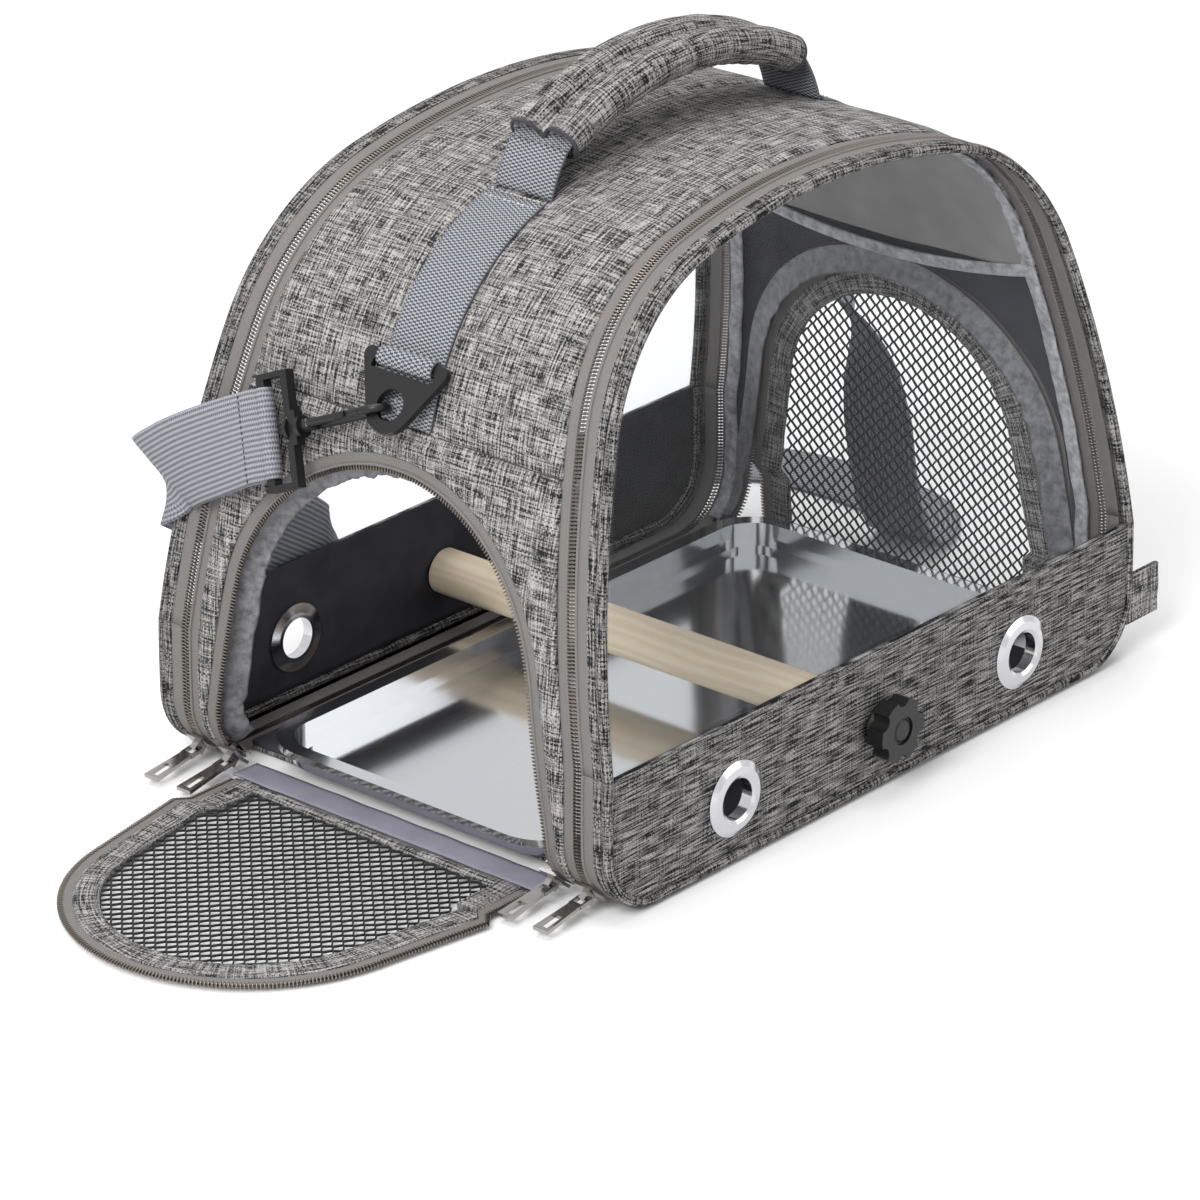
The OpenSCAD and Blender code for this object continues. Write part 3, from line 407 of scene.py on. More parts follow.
class Finish:
    """A material being built, with its Principled shader."""
    def __init__(self, name, **values):
        self.mat = bpy.data.materials.new(name)
        self.mat.use_nodes = True
        self.tree = self.mat.node_tree
        self.bsdf = self.tree.nodes["Principled BSDF"]
        for key, v in values.items():
            self.bsdf.inputs[key.replace("_", " ")].default_value = (*v, 1) if isinstance(v, tuple) else v
    def put(self, socket, v):
        if isinstance(v, Val):
            self.tree.links.new(v.out, socket)
        elif isinstance(v, tuple) and len(v) == 3 and len(socket.default_value) == 4:
            socket.default_value = (*v, 1)
        else:
            socket.default_value = v
    def node(self, kind, settings=None, ins=None, out=0):
        n = self.tree.nodes.new(kind)
        for k, v in (settings or {}).items():
            setattr(n, k, v)
        for k, v in (ins or {}).items():
            self.put(n.inputs[k], v)
        return Val(self, n.outputs[out])
    def set(self, name, v):
        self.put(self.bsdf.inputs[name], v)
        return self
    def coords(self, kind="UV"):
        """x, y and z of the pattern's coordinates, in millimetres."""
        place = self.node("ShaderNodeTexCoord", out=kind)
        scaled = self.node("ShaderNodeVectorMath", {"operation": "SCALE"}, {0: place, "Scale": 1000.0})
        parts = self.node("ShaderNodeSeparateXYZ", {}, {0: scaled}).out.node.outputs
        return [Val(self, part) for part in parts]
    def noise(self, x, y, z=0.0, detail=2.0, rough=0.5):
        place = self.node("ShaderNodeCombineXYZ", {}, {0: x, 1: y, 2: z})
        values = {"Vector": place, "Scale": 1.0, "Detail": detail, "Roughness": rough}
        return self.node("ShaderNodeTexNoise", {}, values)
    def mix(self, factor, a, b):
        """A colour between a and b."""
        return self.node("ShaderNodeMix", {"data_type": "RGBA"}, {0: factor, 6: a, 7: b}, out=2)
    def bump(self, h, strength=0.3, distance=0.0003):
        values = {"Strength": strength, "Distance": distance, "Height": h}
        return self.set("Normal", self.node("ShaderNodeBump", {}, values))

def srgb(*levels):
    """A colour given in 0 to 255, as the linear values that the shader wants."""
    return tuple(((c / 255 + 0.055) / 1.055) ** 2.4 for c in levels)

print("middle grey is", [round(v, 3) for v in srgb(128, 128, 128)])

# %% [markdown]
# ## Heather cloth and webbing
# Heather cloth is woven from yarns spun of dark and light fibres. Speckled noise alone looks like stone, so
# each yarn is a noise stretched far along its own direction, one set for the warp and one for the weft, and
# a fine over-and-under pattern decides which of the two shows. Webbing and zip tape are much coarser
# weaves, so there the over-and-under pattern itself makes the tone and the relief; on the webbing that tone
# is painted highlight on the raised picks and painted shade between them.

# %% Woven finishes
YARN_PITCH, YARN_GAIN = 1.05, 4.4

def heather(name, dark, light, lean=0.5, level=0.41, along=0.6):
    """Melange weave: warp and weft yarns whose tone drifts along each yarn, with a small relief."""
    f = Finish(name, Roughness=0.92, Specular_IOR_Level=0.18)
    x, y, _ = f.coords()
    warp = f.noise(x * 0.08, y * 1.3, 3.0, detail=1.0)
    weft = f.noise(x * 1.3, y * 0.08, 11.0, detail=1.0)
    over = (x * (math.pi / YARN_PITCH)).sin() * (y * (math.pi / YARN_PITCH)).sin()
    share = (over * 1.4 + lean).clamp() * 0.5 + along * 0.5
    yarn = warp * share + weft * (1.0 - share)
    slub = f.noise(x * 0.09, y * 0.09, 5.0, detail=3.0)
    fine = f.noise(x * 1.9, y * 1.9, 7.0, detail=1.0)
    tone = (yarn - 0.5) * YARN_GAIN + (slub - 0.5) * 0.25 + (fine - 0.5) * 1.1 + over * 0.10 + level
    f.set("Base Color", f.mix(tone.clamp(), dark, light))
    return f.bump(over * 0.5 + yarn, 0.5, 0.00035).mat

def webbing_finish(name, dark, light):
    """Plain-woven strap: rows of small raised picks, with painted highlight on their tops and painted shade
    between them.
    """
    rib, run = 1.7, 1.6
    f = Finish(name, Roughness=0.8, Specular_IOR_Level=0.25)
    x, y, _ = f.coords()
    row = (y * (2 * math.pi / rib)).sin()
    flip = (y * (math.pi / rib)).sin().op("SIGN") * (math.pi / 2)
    pick = (x * (2 * math.pi / run) + flip).sin() * row.op("ABSOLUTE")
    fuzz = f.noise(x * 1.5, y * 1.5, 2.0)
    # The tone paints highlight on each pick's top and shade in the hollows between the picks.
    tone = (pick * 1.1 + 0.5 + (fuzz - 0.5) * 0.6).clamp()
    f.set("Base Color", f.mix(tone, dark, light))
    return f.bump(pick, 0.6, 0.0004).mat

def ribbed_finish(name, dark, light):
    """Strap webbing: ribs along its length, each a row of small picks."""
    f = Finish(name, Roughness=0.75, Specular_IOR_Level=0.3)
    x, y, _ = f.coords()
    rib = (y * (2 * math.pi / 2.1)).sin()
    pick = (x * (2 * math.pi / 1.0) + (y * (2 * math.pi / 4.2)).sin() * 1.5).sin()
    grain = f.noise(x * 1.2, y * 1.2)
    f.set("Base Color", f.mix((rib * 0.34 + pick * 0.2 + 0.25 + grain * 0.5).clamp(), dark, light))
    return f.bump(rib + pick * 0.4, 0.5, 0.0004).mat

def tape_finish(name, colour, light):
    """Woven zip tape with fine diagonal ribs."""
    f = Finish(name, Roughness=0.7, Specular_IOR_Level=0.3)
    x, y, _ = f.coords()
    rib = ((x + y) * (2 * math.pi / 0.8)).sin()
    grain = f.noise(x * 2.0, y * 2.0)
    f.set("Base Color", f.mix((rib * 0.25 + grain).clamp(), colour, light))
    return f.bump(rib, 0.35, 0.0002).mat

# %% [markdown]
# ## Linings, bindings and hard finishes
# These are quieter: a slow cloud over a fine grain. The binding's satin adds crumpled patches of painted
# highlight and painted shade, metal varies mostly in roughness, and wood bends its rings with a slow warp.
# Glass would darken what lies behind a thin sheet, so the clear sheet mixes a transparent shader with a gloss
# that grows at grazing angles.

# %% Plain cloth, satin, plastic, metal, wood and clear sheet
def cloth_finish(name, dark, light, scale=1.0):
    """Smooth lining cloth with a fine even weave."""
    f = Finish(name, Roughness=0.85, Specular_IOR_Level=0.2)
    x, y, z = f.coords("Object")
    weave = ((x + z) * (9.0 * scale)).sin() * ((y - z) * (9.0 * scale)).sin()
    cloud = f.noise(x * 0.06, y * 0.06, z * 0.06, detail=3.0)
    f.set("Base Color", f.mix((weave * 0.12 + cloud).clamp(), dark, light))
    return f.bump(weave, 0.2, 0.0002).mat

def satin_finish(name, dark, light):
    """Gathered binding: soft sheen, with painted highlights and painted shade in crumpled patches."""
    f = Finish(name, Specular_IOR_Level=0.4)
    x, y, z = f.coords("Object")
    crease = f.noise(x * 0.22, y * 0.22, z * 0.22, detail=4.0, rough=0.65)
    # The crease tone paints highlights on the crumples and shade in their folds; it also sets the roughness.
    tone = ((crease - 0.5) * 2.4 + 0.5).clamp()
    f.set("Base Color", f.mix(tone, dark, light))
    f.set("Roughness", tone * 0.25 + 0.4)
    return f.bump(crease, 0.4, 0.0008).mat

def shade(colour, level):
    return tuple(c * level for c in colour)

def plastic_finish(name, colour, rough):
    """Moulded plastic or yarn: an even colour under a fine grain."""
    f = Finish(name, Specular_IOR_Level=0.45)
    x, y, z = f.coords("Object")
    grain = f.noise(x * 1.8, y * 1.8, z * 1.8, detail=3.0)
    f.set("Base Color", f.mix(grain, shade(colour, 0.8), shade(colour, 1.25)))
    f.set("Roughness", grain * 0.2 + (rough - 0.1))
    return f.bump(grain, 0.15, 0.00015).mat

def metal_finish(name, colour, rough, brush=0.0):
    """Polished metal with soft uneven wear, drawn out along x where it is brushed."""
    f = Finish(name, Metallic=1.0)
    x, y, z = f.coords("Object")
    sx, sy, sz = (0.05, 3.0, 0.4) if brush else (0.5, 0.5, 0.5)
    wear = f.noise(x * sx, y * sy, z * sz, detail=3.0)
    f.set("Base Color", f.mix(wear, shade(colour, 0.86), colour))
    f.set("Roughness", wear * (0.12 + brush) + (rough - 0.06))
    return f.mat

def wood_finish(name):
    """Pale wood: growth rings bent by a slow warp, and fine pores along y."""
    f = Finish(name, Roughness=0.55, Specular_IOR_Level=0.3)
    x, y, z = f.coords("Object")
    warp = f.noise(x * 0.12, y * 0.02, z * 0.12, detail=3.0)
    ring = ((x * 0.9 + z * 1.3 + warp * 14.0) * 0.9).sin() * 0.5 + 0.5
    pore = f.noise(x * 2.2, y * 0.12, z * 2.2, detail=2.0)
    f.set("Base Color", f.mix((ring * 0.55 + pore * 0.5).clamp(), srgb(232, 210, 178), srgb(250, 236, 212)))
    return f.bump(pore, 0.2, 0.0002).mat

def clear_finish(name):
    """Clear soft sheet: mostly see-through, with a thin gloss that grows at grazing angles."""
    f = Finish(name, Base_Color=(0.93, 0.95, 0.97), Roughness=0.06, Specular_IOR_Level=0.5)
    x, y, z = f.coords("Object")
    haze = f.noise(x * 0.03, y * 0.03, z * 0.03, detail=3.0)
    see = f.node("ShaderNodeBsdfTransparent", {}, {0: (0.97, 0.975, 0.98)})
    gloss = f.node("ShaderNodeBsdfGlossy", {}, {"Color": (1.0, 1.0, 1.0), "Roughness": 0.08})
    body = f.node("ShaderNodeBsdfDiffuse", {}, {0: srgb(205, 212, 216)})
    facing = f.node("ShaderNodeLayerWeight", {}, {"Blend": 0.5}, out=1)
    a = f.node("ShaderNodeMixShader", {}, {0: (haze * 0.006).clamp(), 1: see, 2: body})
    b = f.node("ShaderNodeMixShader", {}, {0: (facing ** 4.0 * 0.3 + 0.004).clamp(), 1: a, 2: gloss})
    out = f.tree.nodes["Material Output"]
    f.tree.links.new(b.out, out.inputs["Surface"])
    return f.mat

# %% This carrier's finishes
M_HEATHER = heather("heather", srgb(34, 34, 35), srgb(178, 176, 174))
M_PIPING = heather("heather piping", srgb(24, 24, 25), srgb(158, 156, 154), level=0.36, along=0.7)
# The band is the same heather cloth: lean and along turn its weave, and its darker yarns and lower level are
# painted shade.
M_BAND = heather("heather band", srgb(22, 22, 23), srgb(162, 160, 158), lean=0.9, level=0.36, along=0.85)
M_SLEEVE = heather("heather sleeve", srgb(26, 26, 27), srgb(172, 170, 168), along=0.7)
M_WEB = webbing_finish("webbing", srgb(48, 50, 55), srgb(172, 174, 181))
M_STRAP = ribbed_finish("strap webbing", srgb(84, 85, 91), srgb(168, 169, 177))
M_TAPE = tape_finish("zip tape", srgb(96, 93, 91), srgb(142, 138, 135))
M_TEETH = metal_finish("zip teeth", srgb(138, 131, 124), 0.3)
M_LINING = cloth_finish("dark lining", srgb(44, 44, 48), srgb(74, 74, 79))
M_ROOF = cloth_finish("roof lining", srgb(122, 119, 118), srgb(160, 157, 156))
M_BINDING = satin_finish("light binding", srgb(118, 118, 121), srgb(204, 204, 207))
# The doorway's binding is the same pale binding; these darker colours paint the shade inside the doorway.
M_EDGING_SHADE = satin_finish("doorway edging in painted shade", srgb(88, 88, 91), srgb(152, 152, 155))
M_SEAM_SHADOW = cloth_finish("seam shadow", srgb(52, 52, 55), srgb(84, 84, 88))
M_THREAD = cloth_finish("sewing thread", srgb(92, 92, 95), srgb(140, 140, 143), 2.0)
M_THREAD_LIGHT = cloth_finish("light thread", srgb(168, 168, 170), srgb(212, 212, 214), 2.0)
M_SILL = cloth_finish("sill cloth", srgb(122, 120, 133), srgb(154, 152, 165))
M_BLACK = plastic_finish("black plastic", srgb(17, 17, 18), 0.36)
M_NET = plastic_finish("net yarn", srgb(26, 26, 28), 0.7)
M_CHROME = metal_finish("eyelet metal", srgb(212, 212, 215), 0.16)
M_NICKEL = metal_finish("zip metal", srgb(170, 168, 165), 0.2)
M_STEEL = metal_finish("tray steel", srgb(214, 215, 217), 0.1, 0.02)
M_WOOD = wood_finish("perch wood")
M_CLEAR = clear_finish("clear sheet")
print("finishes", len(bpy.data.materials))

# %% [markdown]
# ## Padded fabric shell
# The roof and the end panels are one padded cloth each. A cloth simulation could stuff them, but their
# edges have to stay exactly on the zips, so their swell is worked out instead: it rises with the distance
# from the seam, dips at the stitches, and carries slow uneven waves, which keeps the cloth from looking
# like a plate. The webbing presses its own strip flat. Solidify then gives the wall, with dark lining
# inside.

# %% How the padding rises
CLOTH_T = SHELL_T - 0.6
WEB_HALF = 16

def wave(x, y, z, size, amount, seed=0.0):
    return amount * noise.noise(Vector((x / size + seed, y / size - seed, z / size + 2 * seed)))

def swell(depth, reach=14.0, high=1.3):
    """How far padding rises at a distance from its seam."""
    t = min(max(depth, 0) / reach, 1)
    return high * math.sin(t * math.pi / 2) - 0.5 * math.exp(-max(depth, 0) / 1.6)

print("padding rises", round(swell(14), 2), "mm")

# %% Roof
def roof_panel():
    top = arch_part(SEAM_Z, True)
    end_s = top[-1][4]
    def at(station, t):
        x, z, nx, nz, s = station
        half = face_y(z) - GUSSET_D
        y = half * t
        h = swell(min(half - abs(y), s, end_s - s)) + wave(x, y, z, 34, 0.7, 3) + wave(x, y, z, 11, 0.18, 5)
        if abs(y) < WEB_HALF:
            h = min(h, 0.0)
        elif abs(y) < WEB_HALF + 3:
            h *= (abs(y) - WEB_HALF) / 3
        return (x + nx * h, y, z + nz * h), (s, y)
    return solidify(surface("roof_panel", top, np.linspace(-1, 1, 61), at), CLOTH_T)

# %% Ends
DOOR_R, DOOR_HALF, ARCH_Z, FOOT_Z = 79, 88, 75, 30

def door_line(inset, n=72, bottom=4.0):
    """A door opening's outline in (y, z), front foot over the top to the rear foot, with outward normals."""
    r, half = DOOR_R - inset, DOOR_HALF - inset
    dz = ARCH_Z - FOOT_Z
    a = math.acos(r / math.hypot(half, dz)) - math.atan2(dz, half)
    tx, tz = r * math.cos(a), ARCH_Z + r * math.sin(a)
    right = [(half, bottom + (FOOT_Z - bottom) * t, 1, 0) for t in np.arange(8) / 8]
    right += [(half + (tx - half) * t, FOOT_Z + (tz - FOOT_Z) * t, math.cos(a * t), math.sin(a * t))
              for t in np.arange(12) / 12]
    right += [(r * math.cos(t), ARCH_Z + r * math.sin(t), math.cos(t), math.sin(t))
              for t in np.linspace(a, math.pi / 2, n // 2, endpoint=False)]
    return [(-y, z, -ny, nz) for y, z, ny, nz in right] + [(0, ARCH_Z + r, 0, 1)] + right[::-1]

def end_point(side, y, z, h):
    """A point on an end's outer surface at (y, z), lifted by h along the surface's normal."""
    x, (nx, nz) = side_x(z)
    return (side * (x + nx * h), y, z + nz * h)

def end_panel(side):
    """An end's cloth, from the doorway's edge out to the gussets and up to the roof's seam."""
    inner = door_line(-5.9)
    middle = (len(inner) - 1) / 2
    top_k, corner_k = 0.62, 0.78
    def outer(i):
        """The place on the panel's outer edge that faces place i of the doorway."""
        y, z = inner[i][:2]
        k = abs(i - middle) / middle
        if k <= top_k:
            return math.copysign((face_y(SEAM_Z) - GUSSET_D) * k / top_k, y), SEAM_Z
        z += (SEAM_Z - z) * max(0, (corner_k - k) / (corner_k - top_k)) ** 1.5
        return math.copysign(face_y(z) - GUSSET_D, y), z
    def at(i, t):
        (y, z), (oy, oz) = inner[i][:2], outer(i)
        py, pz = y + (oy - y) * t, z + (oz - z) * t
        edge = min(math.hypot(py - y, pz - z), math.hypot(oy - py, oz - pz))
        h = swell(edge, 10, 1.0) + wave(side * 170, py, pz, 26, 0.8, 9) + wave(side * 170, py, pz, 9, 0.2, 4)
        if abs(py) < WEB_HALF + 1 and pz > SEAM_Z - 4:
            h = min(h, 0)
        return end_point(side, py, pz, h), (pz, py + side * 400)
    name = ("left" if side < 0 else "right") + "_end_cloth"
    return solidify(surface(name, range(len(inner)), np.linspace(0, 1, 17), at), CLOTH_T)

def seam_line(side):
    """Top-stitched seam where the roof meets an end panel."""
    half = face_y(SEAM_Z) - GUSSET_D
    places = [lambda a, b, y=y: end_point(side, y, SEAM_Z + a, b - 0.6) for y in np.linspace(-half, half, 60)]
    return strip("seam", rounded(0.9, 0.8, 0.35), places)

padded = {"upper_gusset": roof_panel(), "left_end_panel": end_panel(-1), "right_end_panel": end_panel(1)}
for node, ob in padded.items():
    settle(ob, "carrier", M_HEATHER, "heather_fabric", node)
    ob.data.materials.append(M_LINING)
    ob.modifiers["wall"].material_offset = 1
    print(ob.name, len(ob.data.polygons), "faces")
# The roof seams are drawn in the painted seam shadow.
settle(merge("roof_seams", [seam_line(-1), seam_line(1)]), "carrier", M_SEAM_SHADOW, "heather_fabric")

# %% [markdown]
# ## Floor, lining and inner bindings
# The roof lining hangs a little slack between its light bound edges. A pale binding also covers the seam
# inside each face zip and round each doorway. The doorway's one is gathered: it is sewn flat at its foot
# and its free edge curls, so the noise that moves it grows towards that edge. One strip with a curved
# section does that without a simulation, and it can't drift into the zip.

# %% Roof lining
def roof_lining():
    def at(station, t):
        x, z, nx, nz, s = station
        half = face_y(z) - GUSSET_D - 0.5
        y = half * t
        sag = 2.5 * (1 - t * t) + wave(x, y, z, 30, 1.2, 2)
        h = -(SHELL_T + 0.9 + max(0, sag))
        return (x + nx * h, y, z + nz * h), (s, y)
    return solidify(surface("roof_lining_cloth", arch_part(SEAM_Z, True), np.linspace(-1, 1, 41), at), 0.5)

settle(roof_lining(), "carrier", M_ROOF, "lining_fabric", "roof_lining")
print("lining", PIECES[-1])

# %% Inner bindings
def inner_binding(side):
    """Light binding over the seam between shell and face zip, inside."""
    def station(x, z, nx, nz, s):
        def place(a, b):
            h = -(SHELL_T + 1.2 + b + wave(s, 0, side, 9, 0.5, 1))
            high = z + nz * h
            return (x + nx * h, side * (face_y(high) - GUSSET_D + a - 2.0 + wave(s, 0, side, 12, 0.8, 6)), high)
        return place
    return strip("inner_binding", rounded(6.5, 1.6, 0.75), [station(*p) for p in ARCH if p[1] > 3])

def end_seam_binding(side):
    """Binding over the roof's seam on an end, hanging a little lower in the middle."""
    half = face_y(SEAM_Z) - GUSSET_D - 1
    def station(t):
        drop = 9 * (1 - t * t)
        return lambda a, b: end_point(side, t * half, SEAM_Z + 1 - drop + a, -(SHELL_T + 1.6 + b + drop * 0.25))
    return strip("seam_binding", rounded(6.0, 1.4, 0.65), [station(t) for t in np.linspace(-1, 1, 50)])

RUFFLE = [(-7.0, 4.7), (-5.2, 4.9), (-3.4, 5.5), (-1.6, 6.7), (0, 8.2), (1.4, 9.6), (2.7, 10.7), (3.8, 11.3)]
RUFFLE_T, RUFFLE_IN, THRESHOLD_Z = 0.9, 4.7, 5.2

def doorway_binding(side):
    """Light gathered binding: sewn flat behind the doorway's edge, curling free inside the opening."""
    def station(i, y, z, ny, nz):
        curl = noise.noise(Vector((i * 0.22, side, 2))) + 0.6 * noise.noise(Vector((i * 0.61, side, 7)))
        puffed = noise.noise(Vector((i * 0.33, side, 12))) + 0.5 * noise.noise(Vector((i * 0.8, side, 17)))
        low = 0.62 if z < 34 else 1.0
        def place(a, h):
            free = max(0, (a + 5) / 9) ** 1.4
            out = -(a if a < 0 else a * low) - free * 1.3 * curl
            deep = RUFFLE_IN + (h - RUFFLE_IN) * (0.5 if side > 0 else 1.0) + free * (0.5 + 1.6 * abs(puffed))
            return end_point(side, y + ny * out, max(THRESHOLD_Z, z + nz * out), -deep)
        return place
    section = RUFFLE + [(a + 0.35, h + RUFFLE_T) for a, h in reversed(RUFFLE)]
    line = door_line(0, n=150, bottom=6.5)
    return strip("doorway_binding", section, [station(i, *p) for i, p in enumerate(line)])

bindings = [make(side) for make in (inner_binding, end_seam_binding) for side in (-1, 1)]
settle(merge("inner_bindings", bindings), "carrier", M_BINDING, "opening_binding")
ruffles = merge("doorway_bindings", [doorway_binding(-1), doorway_binding(1)])
# The doorway bindings get the darker copy of the pale binding, as painted shade.
settle(ruffles, "carrier", M_EDGING_SHADE, "opening_binding", "opening_bindings")
print("bindings", PIECES[-2:])

# %% Floor and sills
FLOOR_X, FLOOR_Y = BODY_W / 2 - CORNER_R, BASE_D / 2 - GUSSET_D
SILL_X, SILL_W, SILL_Y, SILL_Z = 153.5, 14.3, 82, 3.3

def floor_sheet(name, half_x, z, t, bulge=0.0):
    def at(x, y):
        return (x, y, z + bulge * wave(x, y, 0, 50, 1.0)), (x, y)
    xs, ys = np.linspace(-half_x, half_x, 41), np.linspace(-FLOOR_Y, FLOOR_Y, 31)
    return solidify(face_towards(surface(name, xs, ys, at), (0, 0, 1)), t)

def sill(side):
    def at(x, y):
        return (side * x, y, SILL_Z + wave(x, y, side, 14, 0.25) + 0.3 * (x - SILL_X) / 14), (x, y)
    xs, ys = np.linspace(SILL_X, SILL_X + SILL_W, 8), np.linspace(-SILL_Y, SILL_Y, 70)
    return face_towards(surface("sill", xs, ys, at), (0, 0, 1))

settle(floor_sheet("base_cloth", FLOOR_X, 1.6, 1.5), "carrier", M_HEATHER, "heather_fabric", "base_panel")
board = soften(floor_sheet("base_board_cover", FLOOR_X - 0.5, 3.9, 2.3, 0.25), 0.6)
settle(board, "carrier", M_LINING, "lining_fabric", "base_board")
settle(solidify(merge("sill_cloth", [sill(-1), sill(1)]), 0.6), "carrier", M_SILL, "sill_fabric", "sill_strips")
print("floor", PIECES[-3:])

# %% [markdown]
# ## Zips
# Every zip half is a woven tape with a cord on its edge and a row of teeth. A texture of teeth looks flat
# from the side, so the teeth are separate turns of a coil, set at one pitch along the zip. The other half
# starts half a pitch later, so the two mesh in the lane between them. Small place functions turn a distance
# from the edge and a depth into a point, and with them the same code follows the arch of a face, the
# outline of a doorway and the outline of a door.

# %% Zip parts
TOOTH_PITCH, TOOTH_W = 1.5, 0.95
TAPE_T, CORD_T = 0.9, 2.0

def face_place(side, x, z, nx, nz):
    """Maps depth d from the face and inset h from the outline to a point at one arch station."""
    return lambda d, h: (x - nx * h, side * (face_y(z - nz * h) - d), z - nz * h)

def end_place(side, y, z, ny, nz):
    """Maps distance a outward from a doorway's outline and inset h to a point on an end."""
    return lambda a, h: end_point(side, y + ny * a, z + nz * a, -h)

def teeth(places, a0, a1, h0, h1, phase=0.0):
    """One coil turn per pitch: a small tapered bar from a0 to a1 across the chain, between insets h0 and h1."""
    mid, long, high = (h0 + h1) / 2, abs(a1 - a0), h1 - h0
    model = drawn_bar([(t * long, r * TOOTH_W / 2, r * high / 2, 0) for t, r in ((0, 1), (0.5, 1), (1, 0.7))])
    frames = []
    for i, t, along in even_steps([place(a0, mid) for place in places], TOOTH_PITCH):
        def at(a, h):
            return np.array(places[i](a, h)) * (1 - t) + np.array(places[i + 1](a, h)) * t
        root = at(a0, mid)
        up, out = (at(a0, h1) - at(a0, h0)) / high, (at(a1, mid) - root) / long
        frames.append((root + along * phase, along, up, out))
    return stamp("teeth", model, frames, smooth=False)

def ribbon(name, places, a0, a1, h, t):
    """A flat band from a0 to a1, its middle at inset h."""
    middle, round_r = (a0 + a1) / 2, min(t / 2, 0.5) - 0.02
    return strip(name, [(middle + a, h + b) for a, b in rounded(abs(a1 - a0), t, round_r, 2)], places)

print("tooth pitch", TOOTH_PITCH, "mm")

# %% Zip round a face
LANE = RETURN_D + CHAIN_W
FAR = GUSSET_D - TAPE_W
MID_H = CHAIN_T / 2
PANEL = (PIPING - 0.6, RETURN_D + 1.2), (RETURN_D, RETURN_D + 1.3), (RETURN_D + 0.7, LANE + 1.35), 0
GUSSET = (FAR - 1.2, GUSSET_D + 1.0), (FAR - 1.3, FAR), (FAR - 0.7, LANE + 0.65), TOOTH_PITCH / 2

def face_zip(side, run, half, body, name, *nodes):
    """Tape, cord and teeth of one zip half round a face; half gives where each begins and ends."""
    places = [face_place(side, *p[:4]) for p in run]
    tape, cord, row, phase = half
    woven = merge(name + "_tape", [ribbon("tape", places, *tape, MID_H + 0.2, TAPE_T),
                                   ribbon("cord", places, *cord, MID_H, CORD_T)])
    settle(woven, body, M_TAPE, "zip_tape", *nodes)
    settle(teeth(places, *row, 0.25, CHAIN_T - 0.5, phase), body, M_TEETH, "zip_tape", name=name + "_teeth")

def piping(side, run, body, name, node):
    """Round cloth piping on the face's edge with the cloth flat beside it."""
    places = [face_place(side, *p[:4]) for p in run]
    rim = [(2.4 + 2.3 * math.cos(t), 2.4 + 2.3 * math.sin(t)) for t in np.linspace(0, 2 * math.pi, 14)[:-1]]
    both = [strip("rim", rim, places), ribbon("fold", places, 4.2, PIPING + 3.2, 1.1, 1.5)]
    settle(merge(name, both), body, M_PIPING, "heather_fabric", node)

FULL = ARCH + [ARCH[0]]
UPPER = arch_part(BAND_H + 0.35, True)
LOWER = arch_part(BAND_H, False)

for side, word in ((-1, "front"), (1, "back")):
    window, band = word + "_window", word + "_band"
    face_zip(side, FULL, GUSSET, "carrier", word + "_gusset", word + "_gusset_zip")
    face_zip(side, UPPER, PANEL, window, window, window + "_zip")
    piping(side, UPPER, window, window + "_edge", window + "_piping")
    face_zip(side, LOWER, PANEL, "carrier", band)
    piping(side, LOWER, "carrier", band + "_edge", band + "_piping")

print("face zips", PIECES[-16:])

# %% Zip round a doorway
for side, word in ((-1, "left"), (1, "right")):
    places = [end_place(side, *p) for p in door_line(0)]
    tape = ribbon("tape", places, 1.0, CHAIN_W + TAPE_W + 1.2, MID_H + 0.1, TAPE_T)
    cord = ribbon("cord", places, 0.9, 2.2, MID_H, CORD_T)
    settle(merge(word + "_doorway_tape", [tape, cord]), "carrier", M_TAPE, "zip_tape", word + "_opening_zip")
    row = teeth(places, 1.5, -0.9, 0.3, CHAIN_T - 0.4)
    settle(row, "carrier", M_TEETH, "zip_tape", name=word + "_doorway_teeth")
print("zips", sum(len(o.data.polygons) for o in scene.objects if "teeth" in o.name), "tooth faces")

# %% [markdown]
# ## Faces
# Below each clear sheet a stiffened fabric band carries the eyelets and the perch knobs. Its round holes
# are cut with a Boolean, because light falls through the eyelets. The clear sheet is soft and not quite
# flat. A perfectly flat sheet reflects as one hard shape, so slow waves bend it by less than a millimetre,
# easing to nothing where it is sewn in.

# %% Sheets across a face
def inner_x(z, inset):
    """Half width of the outline at height z, pulled in by inset."""
    if z < CORNER_R:
        r = CORNER_R - inset
        d = min(CORNER_R - z, r)
        return BODY_W / 2 - CORNER_R + math.sqrt(r * r - d * d)
    if z < SIDE_Z:
        return BODY_W / 2 - inset
    if z < SHZ + math.sin(A1) * SHOULDER_R:
        return SIDE_CX + math.sqrt((SIDE_R - inset) ** 2 - (z - SIDE_Z) ** 2)
    if z < CROWN_CZ + (CROWN_R - inset) * math.sin(A2):
        return SHX + math.sqrt(max((SHOULDER_R - inset) ** 2 - (z - SHZ) ** 2, 0))
    return math.sqrt(max((CROWN_R - inset) ** 2 - (z - CROWN_CZ) ** 2, 0))

def across(name, zs, inset, where):
    """A sheet across a face: where(x, z) gives y."""
    def at(z, t):
        x = inner_x(z, inset) * t
        return (x, where(x, z), z), (x, z)
    return surface(name, zs, np.linspace(-1, 1, 64), at)

